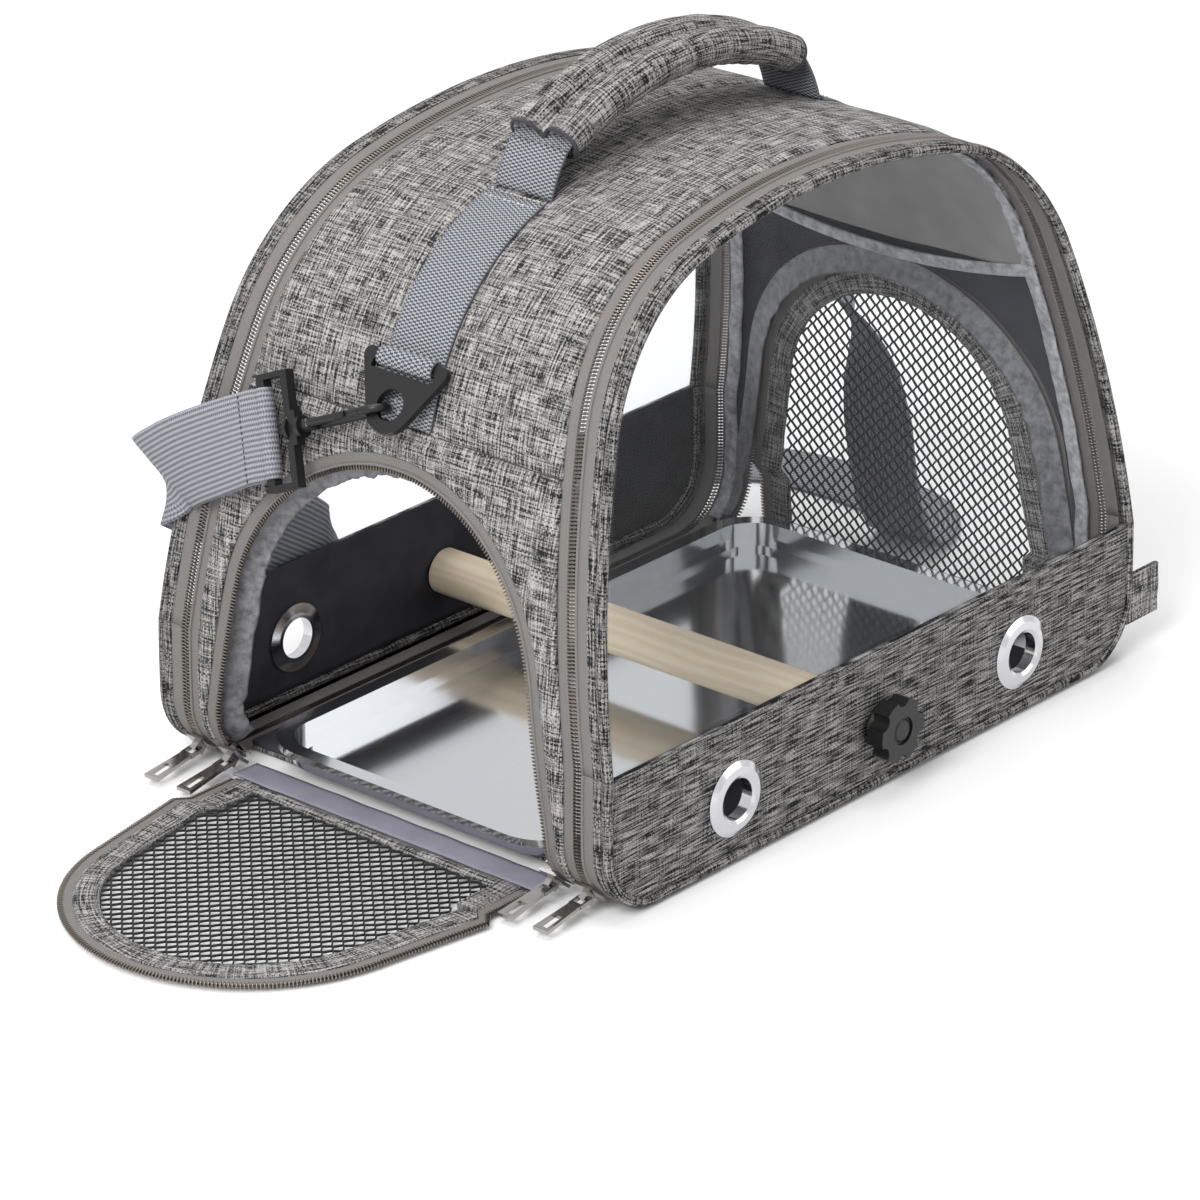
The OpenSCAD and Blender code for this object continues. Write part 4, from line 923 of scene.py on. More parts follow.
def punched(ob, y):
    """Cuts the round holes of a band lying at y."""
    bm = bmesh.new()
    r, deep = (EYE_R + 0.4) * MM, 16 * MM
    for x in HOLE_XS:
        made = bmesh.ops.create_cone(bm, cap_ends=True, segments=48, radius1=r, radius2=r, depth=deep)
        bmesh.ops.rotate(bm, verts=made["verts"], matrix=Matrix.Rotation(math.pi / 2, 3, "X"))
        bmesh.ops.translate(bm, verts=made["verts"], vec=Vector((x, y, HOLE_Z)) * MM)
    punch = new_piece("punch", bm)
    m = ob.modifiers.new("hole", "BOOLEAN")
    m.operation, m.object, m.solver = "DIFFERENCE", punch, "EXACT"
    set_mesh(ob, evaluated(ob))
    bpy.data.objects.remove(punch)
    return ob

print("half width at the band's top", round(inner_x(BAND_H, 0), 1), "mm")

# %% Bands
HOLE_XS, HOLE_Z, EYE_R = (-92, 92, 0), 28, 8.8

def band_layer(name, side, way, deep, t, inset, seed, size, amount):
    """One layer of a band, deep behind its face, with slow waves and the holes for eyelets and perch bolt."""
    y = BASE_D / 2 - deep
    ob = across(name, np.linspace(5.0, BAND_H, 22), inset,
                lambda x, z: side * (y + wave(x, z, side + seed, size, amount)))
    return punched(solidify(face_towards(ob, (0, side * way, 0)), t), side * y)

for side, word in ((-1, "front"), (1, "back")):
    cloth = band_layer(word + "_band_cloth", side, 1, 1.25, 1.7, PIPING - 1.2, 0, 40, 0.225)
    # The bands' darker heather is partly painted shade.
    settle(cloth, "carrier", M_BAND, "heather_fabric", word + "_band")
linings = [band_layer("lining", side, -1, 3.15, 0.6, PIPING - 0.8, 5, 30, 0.18) for side in (-1, 1)]
settle(merge("band_lining_cloth", linings), "carrier", M_LINING, "lining_fabric", "band_linings")
print("bands", PIECES[-3:])

# %% Clear sheets
def clear_sheet(side, word):
    def where(x, z):
        ease = min(1, (z - BAND_H) / 12, max(0, (inner_x(z, PIPING) - abs(x)) / 14 + 0.05))
        sway = wave(x, z, side * 3, 95, 0.9) + wave(x, z, side * 3, 38, 0.25)
        return side * (face_y(z) - 2.3 + ease * (sway - 0.3))
    zs = [*np.linspace(BAND_H + 0.4, 250, 60), 251.5, 252.4]
    return solidify(face_towards(across(word + "_clear_sheet", zs, PIPING - 0.6, where), (0, side, 0)), 0.6)

for side, word in ((-1, "front"), (1, "back")):
    settle(clear_sheet(side, word), word + "_window", M_CLEAR, "clear_sheet", word + "_window_sheet")
    y = side * (BASE_D / 2 - 0.9)
    line = [(x, y, BAND_H - 2 + 0.15 * math.sin(x / 9)) for x in np.linspace(-164, 164, 140)]
    settle(stitch_line(word + "_band_top", line, (0, side, 0)), "carrier", M_THREAD, "heather_fabric")
print("faces", PIECES[-4:])

# %% [markdown]
# ## End doors
# A door is drawn flat with its hinge on one edge, then laid on the ground on the left and stood against the
# end on the right, so both doors share their code. An alpha pattern could stand for the net, but its holes
# have to show the tray behind, so it is knitted from zigzag strands of yarn. Each
# crest meets the next strand's crest, as in real power mesh.

# %% Door outline
HINGE_X, HINGE_Z, DOOR_LEAN, DOOR_T = 168, 3.8, math.radians(5.3), 3.2
DOOR_GAP, BAY, BAY_H = 2, 80.5, 28
NET_PITCH, NET_R, NET_INSET, NET_H = 6.0, 0.6, 13.5, 150

def door_at(side, x, y, z):
    """Flat door coordinates to the carrier: x across, y from the hinge, z out of the door."""
    if side < 0:
        return (-HINGE_X - y, x, HINGE_Z + z)
    s, c = math.sin(DOOR_LEAN), math.cos(DOOR_LEAN)
    return (HINGE_X - s * y - c * z, -x, HINGE_Z + c * y - s * z)

def door_edge(inset, bottom=0.3):
    """Outline of a door, pulled in by inset: x, y and outward normal, foot to foot over the top."""
    out = []
    for x, z, nx, ny in door_line(DOOR_GAP + inset, bottom=0.0):
        y = z - HINGE_Z
        if y < BAY_H and abs(x) > BAY - inset:
            x, nx, ny = math.copysign(BAY - inset, x), math.copysign(1, x), 0
        if y >= bottom:
            out.append((x, y, nx, ny))
    first, last = out[0], out[-1]
    return [(first[0], bottom, *first[2:]), *out, (last[0], bottom, *last[2:])]

def inside_door(x, y):
    """Whether a place lies inside the door's bound edge, so that the net shows there."""
    r, half, z = DOOR_R - DOOR_GAP - NET_INSET, DOOR_HALF - DOOR_GAP - NET_INSET, y + HINGE_Z
    if not 4.5 < y <= NET_H or (y < BAY_H and abs(x) > BAY - NET_INSET):
        return False
    if z > ARCH_Z + 30:
        return math.hypot(x, z - ARCH_Z) < r
    if z > FOOT_Z:
        arch_half = math.sqrt(max(r ** 2 - max(0, z - ARCH_Z) ** 2, 0)) + max(0, ARCH_Z - z) * 0.13
        return abs(x) < min(half - (z - FOOT_Z) * 0.12, arch_half)
    return abs(x) < half

print("door outline", len(door_edge(0)), "places")

# %% Door pieces
def strand(side, pts):
    """One strand of net yarn, with a square section; its open ends lie in the door's bound edge."""
    section = [(NET_R * math.cos(t), NET_R * math.sin(t)) for t in np.radians((45, 135, 225, 315))]
    places = []
    for i, p in enumerate(pts):
        along = np.subtract(pts[min(i + 1, len(pts) - 1)], pts[max(i - 1, 0)])
        across_yarn = np.cross(unit(along), (0, 0, 1))
        places.append(lambda a, b, p=p, n=across_yarn: door_at(side, *(np.array(p) + n * a + (0, 0, b))))
    return strip("strand", section, places, caps=False)

def net_strands(side, name):
    """Zigzag strands up the door; each crest meets the next strand's crest."""
    half, strands = NET_PITCH / 2, []
    for col in range(-32, 33):
        run = []
        for j in range(-2, int(NET_H / half) + 2):
            x = half * (col + (0.4 if j % 2 == col % 2 else -0.4))
            y = NET_PITCH + j * half
            if inside_door(x, y):
                run.append((x, y, -DOOR_T / 2 + (0.12 if j % 2 else -0.12)))
                continue
            if len(run) > 1:
                strands.append(strand(side, run))
            run = []
        if len(run) > 1:
            strands.append(strand(side, run))
    return merge(name, strands)

def edge_band(name, side, a0, a1, z0, z1, r, ruffle=0.0):
    """A band that follows the door's edge between two insets and two heights."""
    mid, high, bottom = (a0 + a1) / 2, (z0 + z1) / 2, 0.3
    def station(i, x, y, nx, ny):
        wobble = ruffle * (math.sin(i * 1.7) + 0.6 * math.sin(i * 0.63))
        return lambda a, b: door_at(side, x - nx * (mid + a), max(bottom, y - ny * (mid + a)),
                                    high + b + wobble * (0.5 + a / (a1 - a0)))
    stations = [station(i, *p) for i, p in enumerate(door_edge(0, bottom))]
    return strip(name, rounded(a1 - a0, z1 - z0, r), stations)

def hem(side):
    """The rolled hem along the hinge."""
    section = [(0.4 + 5.6 * (0.5 + 0.5 * math.cos(t)), -DOOR_T / 2 + 1.3 * math.sin(t))
               for t in np.linspace(0, 2 * math.pi, 13)[:-1]]
    xs = np.linspace(-BAY + 6, BAY - 6, 60)
    rows = [[door_at(side, x, y, z + 0.25 * math.sin(x / 7)) for y, z in section] for x in xs]
    return grid("hem", rows, [[(i * 2.5, j * 0.9) for j in range(12)] for i in range(60)], ring=True)

def door_teeth(side):
    places = [lambda a, h, p=p: door_at(side, p[0] - p[2] * a, p[1] - p[3] * a, -h) for p in door_edge(0, 2.0)]
    return teeth(places, 1.5, -0.9, 0.6, DOOR_T - 0.6)

def door_stitches(side, name):
    up = np.subtract(door_at(side, 0, 0, 1), door_at(side, 0, 0, 0))
    rows = [[door_at(side, x, y, 0.0) for x, y, _, _ in door_edge(inset, 7.0)] for inset in (7.2, 14.2)]
    return merge(name, [stitch_line("stitches", row, up) for row in rows])

for side, body in ((-1, "left_door"), (1, "right_door")):
    settle(net_strands(side, body + "_mesh"), body, M_NET, "net", body + "_net")
    bound = edge_band("edge", side, 5.0, 15.9, -DOOR_T + 0.15, -0.15, 1.2, ruffle=0.18)
    settle(merge(body + "_edge", [bound, hem(side)]), body, M_HEATHER, "heather_fabric", body + "_binding")
    tape = edge_band(body + "_tape", side, 0.9, 6.4, -DOOR_T / 2 - 0.5, -DOOR_T / 2 + 0.5, 0.4)
    settle(tape, body, M_TAPE, "zip_tape", body + "_zip")
    settle(door_teeth(side), body, M_TEETH, "zip_tape", name=body + "_teeth")
    settle(door_stitches(side, body + "_stitches"), body, M_THREAD, "heather_fabric")
    print(body, PIECES[-5:])

# %% [markdown]
# ## Padded sleeve and shoulder pad
# Both are stuffed fabric. Moving vertices by noise gives a lumpy look, so each starts a little small, is
# remeshed into even faces, and swells in a short cloth simulation with air pressure, which gives the uneven
# skin of real padding. How far a point may move is capped, so the pieces stay on their webbing. Remeshing
# drops the UV map, so the weave is laid on again afterwards.

# %% Stuffing
PRESSURE, PUFF_FRAMES = 2.5, 14

def inflated(ob):
    """The object's mesh after a short cloth simulation with air pressed into it."""
    s = ob.modifiers.new("cloth", "CLOTH").settings
    s.quality, s.mass = 6, 0.12
    s.tension_stiffness = s.compression_stiffness = 8
    s.shear_stiffness, s.bending_stiffness, s.shrink_min = 6, 0.25, -0.05
    s.use_pressure, s.uniform_pressure_force = True, PRESSURE
    s.effector_weights.gravity = 0
    for f in range(1, PUFF_FRAMES + 1):
        scene.frame_set(f)
    return evaluated(ob)

def puff(ob, voxel, cap):
    """Remeshes and inflates one padded piece; no point moves further than cap."""
    mod = ob.modifiers.new("remesh", "REMESH")
    mod.mode, mod.voxel_size = "VOXEL", voxel * MM
    set_mesh(ob, evaluated(ob))
    start = np.array([v.co for v in ob.data.vertices])
    moved = inflated(ob)
    step = np.array([v.co for v in moved.vertices]) - start
    size = np.linalg.norm(step, axis=1, keepdims=True)
    now = start + step * np.minimum(1, cap * MM / np.maximum(size, 1e-9))
    moved.vertices.foreach_set("co", now.ravel())
    set_mesh(ob, moved)
    scene.frame_set(1)
    print(ob.name, "moved at most", round(float(size.max() / MM), 2), "mm, capped at", cap)
    ob.data.polygons.foreach_set("use_smooth", [True] * len(ob.data.polygons))
    m = ob.modifiers.new("soft", "SUBSURF")
    m.levels = m.render_levels = 1
    return ob

def weave_map(ob, place):
    """Lays the weave on a remeshed piece: place gives the pattern's millimetres from a point's."""
    layer = ob.data.uv_layers.new(name="UVMap")
    at = [place(*(c / MM for c in v.co)) for v in ob.data.vertices]
    for loop in ob.data.loops:
        layer.data[loop.index].uv = Vector(at[loop.vertex_index]) * MM

# %% Handle sleeve
HX, HTOP, HR, SLEEVE_A = 4, 286, 150, 28
RIDGE_R, RIDGE_Y = 8.0, 9.4

def on_handle(a, out, y):
    """A point at a degrees along the handle's arch, out beyond its middle line and y across."""
    t = math.radians(a)
    return (HX + (HR + out) * math.sin(t), y, HTOP - HR + (HR + out) * math.cos(t))

def sleeve_section():
    """Outline of the double ridge: a tube over each edge of the webbing, and a deep groove between them."""
    n = 44
    turns = [math.pi * (1.88 * (k + 0.5) / n - 0.94) for k in range(n)]
    return [(s * RIDGE_R * math.sin(t), s * (RIDGE_Y + RIDGE_R * math.cos(t))) for s in (1, -1) for t in turns]

def sleeve_shape():
    """The sleeve before stuffing, its open ends turned in."""
    turned_in = [(0.955, 0.72), (0.985, 0.84), (1.0, 0.93)]
    stations = [(-t, size) for t, size in turned_in]
    stations += [(t, 1.0) for t in np.linspace(-1, 1, 77)] + turned_in[::-1]
    def row(t, size):
        a = t * SLEEVE_A
        pinch = size * (1 - 0.06 * max(0, abs(t) - 0.9) / 0.1 - 0.04 * math.exp(-abs(t) * 3))
        pts = []
        for out, y in sleeve_section():
            sway = 0.4 * noise.noise(Vector((a * 0.22, out * 0.07, y * 0.1 + 3)))
            fold = 0.4 * max(0, -out / RIDGE_R) * math.sin(a * 2.1 + 0.6 * math.sin(a)) * (1 - abs(t)) ** 0.5
            pts.append(on_handle(a, (out + (sway + fold) * (1 if out > 0 else -1)) * pinch, y * pinch))
        return pts
    rows = [row(t, size) for t, size in stations]
    return grid("handle_padding", rows, [[(0, 0)] * len(r) for r in rows], ring=True, caps=True)

def round_ridge(x, y, z):
    """Length along the handle, and length round the nearer ridge."""
    a = math.atan2(x - HX, z - HTOP + HR)
    out = math.hypot(x - HX, z - HTOP + HR) - HR
    return a * HR, RIDGE_R * math.atan2(out, abs(y) - RIDGE_Y) + math.copysign(60, y)

sleeve = puff(sleeve_shape(), 1.2, 0.7)
weave_map(sleeve, round_ridge)
settle(sleeve, "handle", M_SLEEVE, "heather_fabric", "handle_sleeve")
print("sleeve", len(sleeve.data.polygons), "faces")

# %% Sleeve seams
def cord_ring(name, pts, r):
    """A round cord through a closed ring of points."""
    pts, rows, up = [np.array(p, float) for p in pts], [], np.array((0.3, 0.5, 0.8))
    turns = np.linspace(0, 2 * math.pi, 9)[:-1]
    for i, p in enumerate(pts):
        d = unit(pts[(i + 1) % len(pts)] - pts[i - 1])
        up = unit(up - d * float(up @ d))
        side = np.cross(d, up)
        rows.append([p + r * (math.cos(t) * up + math.sin(t) * side) for t in turns])
    return grid(name, rows, [[(i, k) for k in range(8)] for i in range(len(pts))], ring=True, loop=True)

def sleeve_seams():
    """The fabric's turned edges at both ends, and the closing seam underneath."""
    section = [(out * 0.93, y * 0.94) for out, y in sleeve_section()]
    rings = [[on_handle(s * (SLEEVE_A + 0.1), out, y) for out, y in section] for s in (-1, 1)]
    under = [on_handle(a, -2.3, 0) for a in np.linspace(-26, 26, 80)]
    seam = stitch_line("under", under, (0, 0, -1), pitch=3.2, long=2.2, fat=0.55)
    return merge("handle_sleeve_seams", [cord_ring("end", ring, 0.8) for ring in rings] + [seam])

# The sleeve's end cords and under seam are drawn in the painted seam shadow.
settle(sleeve_seams(), "handle", M_SEAM_SHADOW, "heather_fabric")

print("sleeve seams", PIECES[-1])

# %% Shoulder pad
PAD_L, PAD_W, PAD_T, PAD_CORNER = 111.0, 55.0, 8.4, 14
PAD_AT = (116, BASE_D / 2 + 36.5, 4.7)

def pad_shape():
    """Shoulder pad: a flat stuffed cushion with round corners, crowned in the middle."""
    def row(x):
        past = max(0, abs(x) - (PAD_L / 2 - PAD_CORNER))
        half = PAD_W / 2 - PAD_CORNER + math.sqrt(max(PAD_CORNER ** 2 - past ** 2, 0))
        pts = []
        for t in np.arange(36) * math.pi / 18:
            c, s = math.cos(t), math.sin(t)
            y = half * math.copysign(abs(c) ** 0.55, c)
            edge = min(PAD_L / 2 - abs(x), half - abs(y)) / 9
            crown = 0.35 + 0.65 * math.sin(min(max(edge, 0), 1) * math.pi / 2)
            pts.append(Vector(PAD_AT) + Vector((x, y, PAD_T / 2 * crown * math.copysign(abs(s) ** 0.5, s))))
        return pts
    rows = [row(x) for x in np.linspace(-PAD_L / 2, PAD_L / 2, 57)]
    return grid("shoulder_padding", rows, [[(0, 0)] * 36 for _ in rows], ring=True, caps=True)

pad = puff(pad_shape(), 2.4, 0.35)
weave_map(pad, lambda x, y, z: (x + z * 0.5, y + z * 0.5))
settle(pad, "pad", M_HEATHER, "heather_fabric", "shoulder_pad")
print("pad", len(pad.data.polygons), "faces")

# %% [markdown]
# ## Webbing
# Woven webbing with a thin selvedge. The handle's webbing runs under the sleeve and down to its stitched
# feet; the side webbing comes out from under those feet, loops through each ring and ends at the seam. The
# handle tips to and fro while its feet stay on the roof, so its webbing is three pieces: the middle rides
# on the handle, and each leg runs from the arch's end down to the roof.

# %% Webbing maker
HANDLE_HALF, ARCH_A, HANDLE_W, SIDE_W = 84, 29.3, 29.4, 29.6

def web(name, frames, width, t=1.8):
    """Flat webbing along frames of (point, across, up)."""
    edge = [-width / 2 + width * k / 12 for k in range(13)]
    section = [(a, t / 2) for a in edge] + [(-a, -t / 2) for a in edge]
    section = [(a, b * (0.6 if abs(a) > width / 2 - 0.5 else 1)) for a, b in section]
    def station(p, w, u):
        p, w, u = np.array(p, float), unit(np.array(w, float)), unit(np.array(u, float))
        return lambda a, b: p + w * a + u * b
    return strip(name, section, [station(*f) for f in frames])

def soft_piece(ob, material):
    """Gives its finish to a piece that lies between two bodies, and lists it."""
    ob.data.materials.append(material)
    PIECES.append(ob.name)
    return ob

def crown_z(x):
    return CROWN_CZ + math.sqrt(CROWN_R ** 2 - x * x)

print("crown at the handle's feet", [round(crown_z(HX + s * HANDLE_HALF), 1) for s in (-1, 1)])

# %% Handle webbing
def handle_leg(s):
    """Frames from the arch's end down to the foot, bowing out a little."""
    top, x = on_handle(s * ARCH_A, 0, 0), HX + s * (HANDLE_HALF - 0.9)
    down, side = crown_z(x) + 0.6 - top[2], x - top[0]
    def frame_at(t):
        bow = 1.2 * math.sin(math.pi * t)
        point = (top[0] + side * t + s * bow * 0.7, 0, top[2] + down * t + bow * 0.3)
        return point, (0, 1, 0), (s * 0.75, 0, 0.5)
    return [handle_frame(s * ARCH_A)] + [frame_at(i / 12) for i in range(1, 13)]

def handle_frame(a):
    t = math.radians(a)
    return on_handle(a, 0, 0), (0, 1, 0), (math.sin(t), 0, math.cos(t))

for s, name in ((-1, "handle_left_leg"), (1, "handle_right_leg")):
    x = HX + s * HANDLE_HALF
    foot, top = Vector((x, 0, crown_z(x))) * MM, Vector(on_handle(s * ARCH_A, 0, 0)) * MM
    leg = soft_piece(web(name, handle_leg(s)[::s], HANDLE_W), M_WEB)
    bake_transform(leg)
    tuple(foot)
    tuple(top)
arch_web = web("handle_web", [handle_frame(a) for a in np.linspace(-ARCH_A, ARCH_A, 60)], HANDLE_W)
settle(arch_web, "handle", M_WEB, "webbing", "handle_webbing")
print("handle webbing", PIECES[-3:])

# %% Side webbing
RING_Z, RING_TILT, RING_OUT, RING_UP = 186, math.radians(14), 5.2, 10
RING_X, RING_LEAN = side_x(RING_Z)[0], math.asin((RING_Z - SIDE_Z) / SIDE_R)

def side_frames(s):
    """From the handle's foot down the side to the seam."""
    frames = []
    for x, z, nx, nz, _ in ARCH:
        if s * nx > 0 and z >= SEAM_Z + 0.5 and s * (x - HX) > HANDLE_HALF + 1.2:
            h = 0.95 + 0.15 * noise.noise(Vector((x * 0.1, z * 0.1, s)))
            frames.append(((x + nx * h, 0, z + nz * h), (0, 1, 0), (nx, 0, nz)))
    return frames if s < 0 else frames[::-1]

def on_end(s, p):
    """A point given in the ring's leaning plane, on the side's surface."""
    x, y, z = p
    c, k = math.cos(RING_LEAN), math.sin(RING_LEAN)
    return (s * (RING_X + x * c - z * k), y, RING_Z + x * k + z * c)

def ring_loop(s):
    """Webbing folded round the ring's bar: a flat oval."""
    def on_ring(x, z):
        c, k = math.cos(RING_TILT), math.sin(RING_TILT)
        return np.array(on_end(s, (RING_OUT + x * c - z * k, 0, RING_UP + x * k + z * c)))
    frames = []
    for t in np.linspace(0, 2 * math.pi, 29):
        p = on_ring(2.55 * math.cos(t), 1 + 3.45 * math.sin(t))
        frames.append((p, (0, 1, 0), p - on_ring(0, 1)))
    return web("loop", frames, SIDE_W - 1, 1.5)

def foot_stitches(s):
    """Two rows across the webbing's foot at the handle, and two at the seam."""
    frames = side_frames(s)
    near = [min(frames, key=lambda g: abs(abs(g[0][0] - HX) - (HANDLE_HALF + off))) for off in (2.2, 6.5)]
    rows = []
    for p, _, up in near + [frames[-2], frames[-3]]:
        line = [(p[0] + up[0] * 0.95, y, p[2] + up[2] * 0.95) for y in np.linspace(-13, 13, 24)]
        rows.append(stitch_line("foot", line, up, 2.4, 1.7, 0.6))
    return rows

both_sides = [web("side", side_frames(s), SIDE_W) for s in (-1, 1)] + [ring_loop(s) for s in (-1, 1)]
settle(merge("side_web", both_sides), "carrier", M_WEB, "webbing", "side_webbing")
settle(merge("webbing_stitches", foot_stitches(-1) + foot_stitches(1)), "carrier", M_THREAD_LIGHT, "webbing")
print("side webbing", PIECES[-2:])

# %% [markdown]
# ## Shoulder strap
# The strap leaves the left hook's frame, drops behind the back face, lies on the floor behind the carrier,
# and climbs in front of the right door to the other hook. A cloth simulation from one hook to the other
# would hang anywhere, so the route is a list of given stations, each with the direction in which
# the strap is wide, and a smooth curve runs through them.

# %% Strap route
STRAP_W, HOOK_ANGLE, HOOK_OFFSET, START = 37.6, math.radians(24), 8.7, 58.3
EYE_DROP = 17
HOOK_X, HOOK_Z = RING_OUT + EYE_DROP * math.sin(RING_TILT), RING_UP - EYE_DROP * math.cos(RING_TILT)

def hook_point(s, along, up=0.0):
    """A point along the hook's middle line and up across the strap."""
    d, c, k = along + HOOK_OFFSET, math.cos(HOOK_ANGLE), math.sin(HOOK_ANGLE)
    return np.array(on_end(s, (HOOK_X, d * c + up * k, HOOK_Z - d * k + up * c)))

def hook_axes(s):
    """Directions along the hook, across the strap and out of its flat side."""
    fwd = unit(hook_point(s, 1) - hook_point(s, 0))
    up = unit(hook_point(s, 0, 1) - hook_point(s, 0, 0))
    return fwd, up, np.cross(fwd, up)

def strap_route():
    """Stations of (point, direction across the strap), from the left hook to the right one."""
    w, yb = BODY_W / 2, BASE_D / 2
    sy, sz = yb + 36.5, 1.4
    left_up, right_up = hook_axes(-1)[1], hook_axes(1)[1]
    return [(hook_point(-1, START), -left_up), (hook_point(-1, START + 12), -left_up),
            ((-w + 0.5, yb - 24, 139), (0, -0.5, -0.86)), ((-w + 0.5, yb - 12, 131.5), (0.15, -0.45, -0.88)),
            ((-w + 4.5, yb - 3, 125), (0.45, -0.25, -0.85)), ((-w + 15, yb, 117.5), (0.55, 0.05, -0.83)),
            ((-w + 42, yb + 0.5, 99), (0.55, 0.12, -0.83)), ((-w + 78, yb + 2.5, 75), (0.52, 0.12, -0.85)),
            ((-62, yb + 8, 55), (0.5, 0.05, -0.86)), ((-40, yb + 15.5, 38), (0.42, -0.2, -0.88)),
            ((-20, yb + 25, 20.5), (0.28, -0.6, -0.74)), ((-2, yb + 32.5, 8.5), (0.16, -0.87, -0.46)),
            ((12, sy - 0.5, 2.6), (0.04, -0.99, -0.1)),
            *[((x, sy, sz), (0, -1, 0)) for x in (22, 34, 56, 90, 130, 158, w + 6)],
            ((w + 20, sy - 1, sz), (-0.2, -0.98, 0)), ((w + 44, sy - 10, sz), (-0.6, -0.8, 0)),
            ((w + 60, sy - 30, sz), (-0.9, -0.42, 0)), ((w + 66, sy - 54, sz), (-1, -0.1, 0)),
            ((w + 66.7, 92, sz), (-1, -0.03, 0)), ((w + 67, sy - 80, sz), (-1, 0.05, 0)),
            ((w + 64, 54, sz), (-0.98, 0.2, 0)), ((w + 55, 38, sz), (-0.8, 0.6, 0)),
            ((w + 41, 28, 2.4), (-0.4, 0.92, 0)), ((w + 27, 24, 8), (-0.1, 0.99, 0)),
            ((w + 18, 24, 22), (0, 1, 0)), ((w + 14.5, 26, 42), (0, 1, 0)), ((w + 14, 29, 64), (0, 1, 0)),
            ((w + 15, 34, 84), (0.2, 0.97, -0.1)), ((w + 17, 42, 99), (0.5, 0.8, -0.3)),
            ((w + 19, 53, 111), (0.8, 0.5, -0.3)), ((w + 20, 65, 120), (0.95, 0.2, -0.1)),
            ((w + 20, 76, 129), (1, 0, 0)), ((w + 18, 83, 138), (0.95, 0.1, 0.2)),
            ((w + 12, 83, 146), (0.75, 0.25, 0.55)), (hook_point(1, START + 9) + (0.8, 0, 0), (0, 0.4, 0.9)),
            (hook_point(1, START), right_up)]

ROUTE = strap_route()
WINDOW_SIDE, LEFT_END, FLOOR_A, FLOOR_B, RIGHT_MID = 4, 7, 13, 24, 39
print("strap", round(sum(math.dist(p[0], q[0]) for p, q in zip(ROUTE, ROUTE[1:]))), "mm")

# %% Strap makers
def smooth_frames(route, first, last, per=6):
    """Catmull-Rom points between two stations of the route, with the width turned gradually."""
    pts = [np.array(p, float) for p, _ in route]
    wid = [unit(np.array(w, float)) for _, w in route]
    out = []
    for i in range(first, last):
        a, b, c, d = pts[max(i - 1, 0)], pts[i], pts[i + 1], pts[min(i + 2, len(pts) - 1)]
        bend, twist = 2 * a - 5 * b + 4 * c - d, 3 * b - a - 3 * c + d
        for k in range(per + (i == last - 1)):
            t = k / per
            p = 0.5 * (2 * b + (c - a) * t + bend * t * t + twist * t ** 3)
            tangent = unit((c - a) + 2 * bend * t + 3 * twist * t * t)
            w = unit(wid[i] * (1 - t) + wid[i + 1] * t)
            w = unit(w - tangent * float(w @ tangent))
            tilted = i < FLOOR_A and p[2] < 12
            p[2] = max(p[2], 1.0 + (0.45 * abs(w[2]) * 38 / 2 if tilted else 0))
            out.append((p, w, np.cross(tangent, w)))
    return out

def strap_loop(s):
    """The strap folded round the bar of a hook's frame."""
    fwd, up, flat = hook_axes(s)
    frames = []
    for t in np.linspace(0, 2 * math.pi, 25):
        p = hook_point(s, START - 3 + 2.7 * math.cos(t)) + flat * 3.1 * math.sin(t)
        frames.append((p, up, fwd * math.cos(t) + flat * math.sin(t)))
    return web("loop", frames, STRAP_W - 1, 1.5)

def strap_piece(name, first, last, *extra):
    ob = web(name, smooth_frames(ROUTE, first, last), STRAP_W)
    return soft_piece(merge(name, [ob, *extra]) if extra else ob, M_STRAP)

def strap_end(s):
    """The strap's folded end: a second layer inside, held by a row of stitches."""
    fwd, up, flat = hook_axes(s)
    flat = flat * (-1 if flat[0] * s > 0 else 1)
    frames = [(hook_point(s, a) + flat * 1.75, up, flat) for a in np.linspace(START - 2, START + 12.5, 12)]
    line = [hook_point(s, START + 10.5, u) - flat * 0.9 for u in np.linspace(-18, 18, 40)]
    return web("flap", frames, STRAP_W - 0.4, 1.5), stitch_line("strap_stitches", line, -flat, 2.4, 1.9, 0.7)

# %% Strap pieces
flaps, rows = zip(*[strap_end(s) for s in (-1, 1)])
settle(merge("strap_ends", flaps), "carrier", M_STRAP, "webbing")
# The strap stitches are drawn in the painted seam shadow.
settle(merge("strap_stitches", rows), "carrier", M_SEAM_SHADOW, "webbing")

upper = strap_piece("strap_left_upper", 0, LEFT_END, strap_loop(-1))
lower = strap_piece("strap_left_lower", LEFT_END, FLOOR_A)
ground = strap_piece("strap_ground", FLOOR_A, FLOOR_B)
rise = strap_piece("strap_right_lower", FLOOR_B, RIGHT_MID)
tail = strap_piece("strap_right_upper", RIGHT_MID, len(ROUTE) - 1, strap_loop(1))
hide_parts("shoulder_strap")
for ob in (ground, rise, tail):
    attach(ob, "carrier")
side, middle, floor_end = (Vector(ROUTE[k][0]) * MM for k in (WINDOW_SIDE, LEFT_END, FLOOR_A))
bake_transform(upper)
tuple(side)
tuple(middle)
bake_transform(lower)
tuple(middle)
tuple(floor_end)
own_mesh(rise)
print("strap pieces", PIECES[-7:])

# %% [markdown]
# ## Corner tab
# A folded tab of shell fabric is sewn into the piping at the front right corner. It is one strip of cloth
# led out, round a small fold and back, because a plain box would have no open edge.

# %% Tab
TAB_AT, TAB_L, TAB_W, TAB_FOLD = (BODY_W / 2 - 4.0, -BASE_D / 2 + 0.75, 15.1), 21.5, 21.6, 1.35

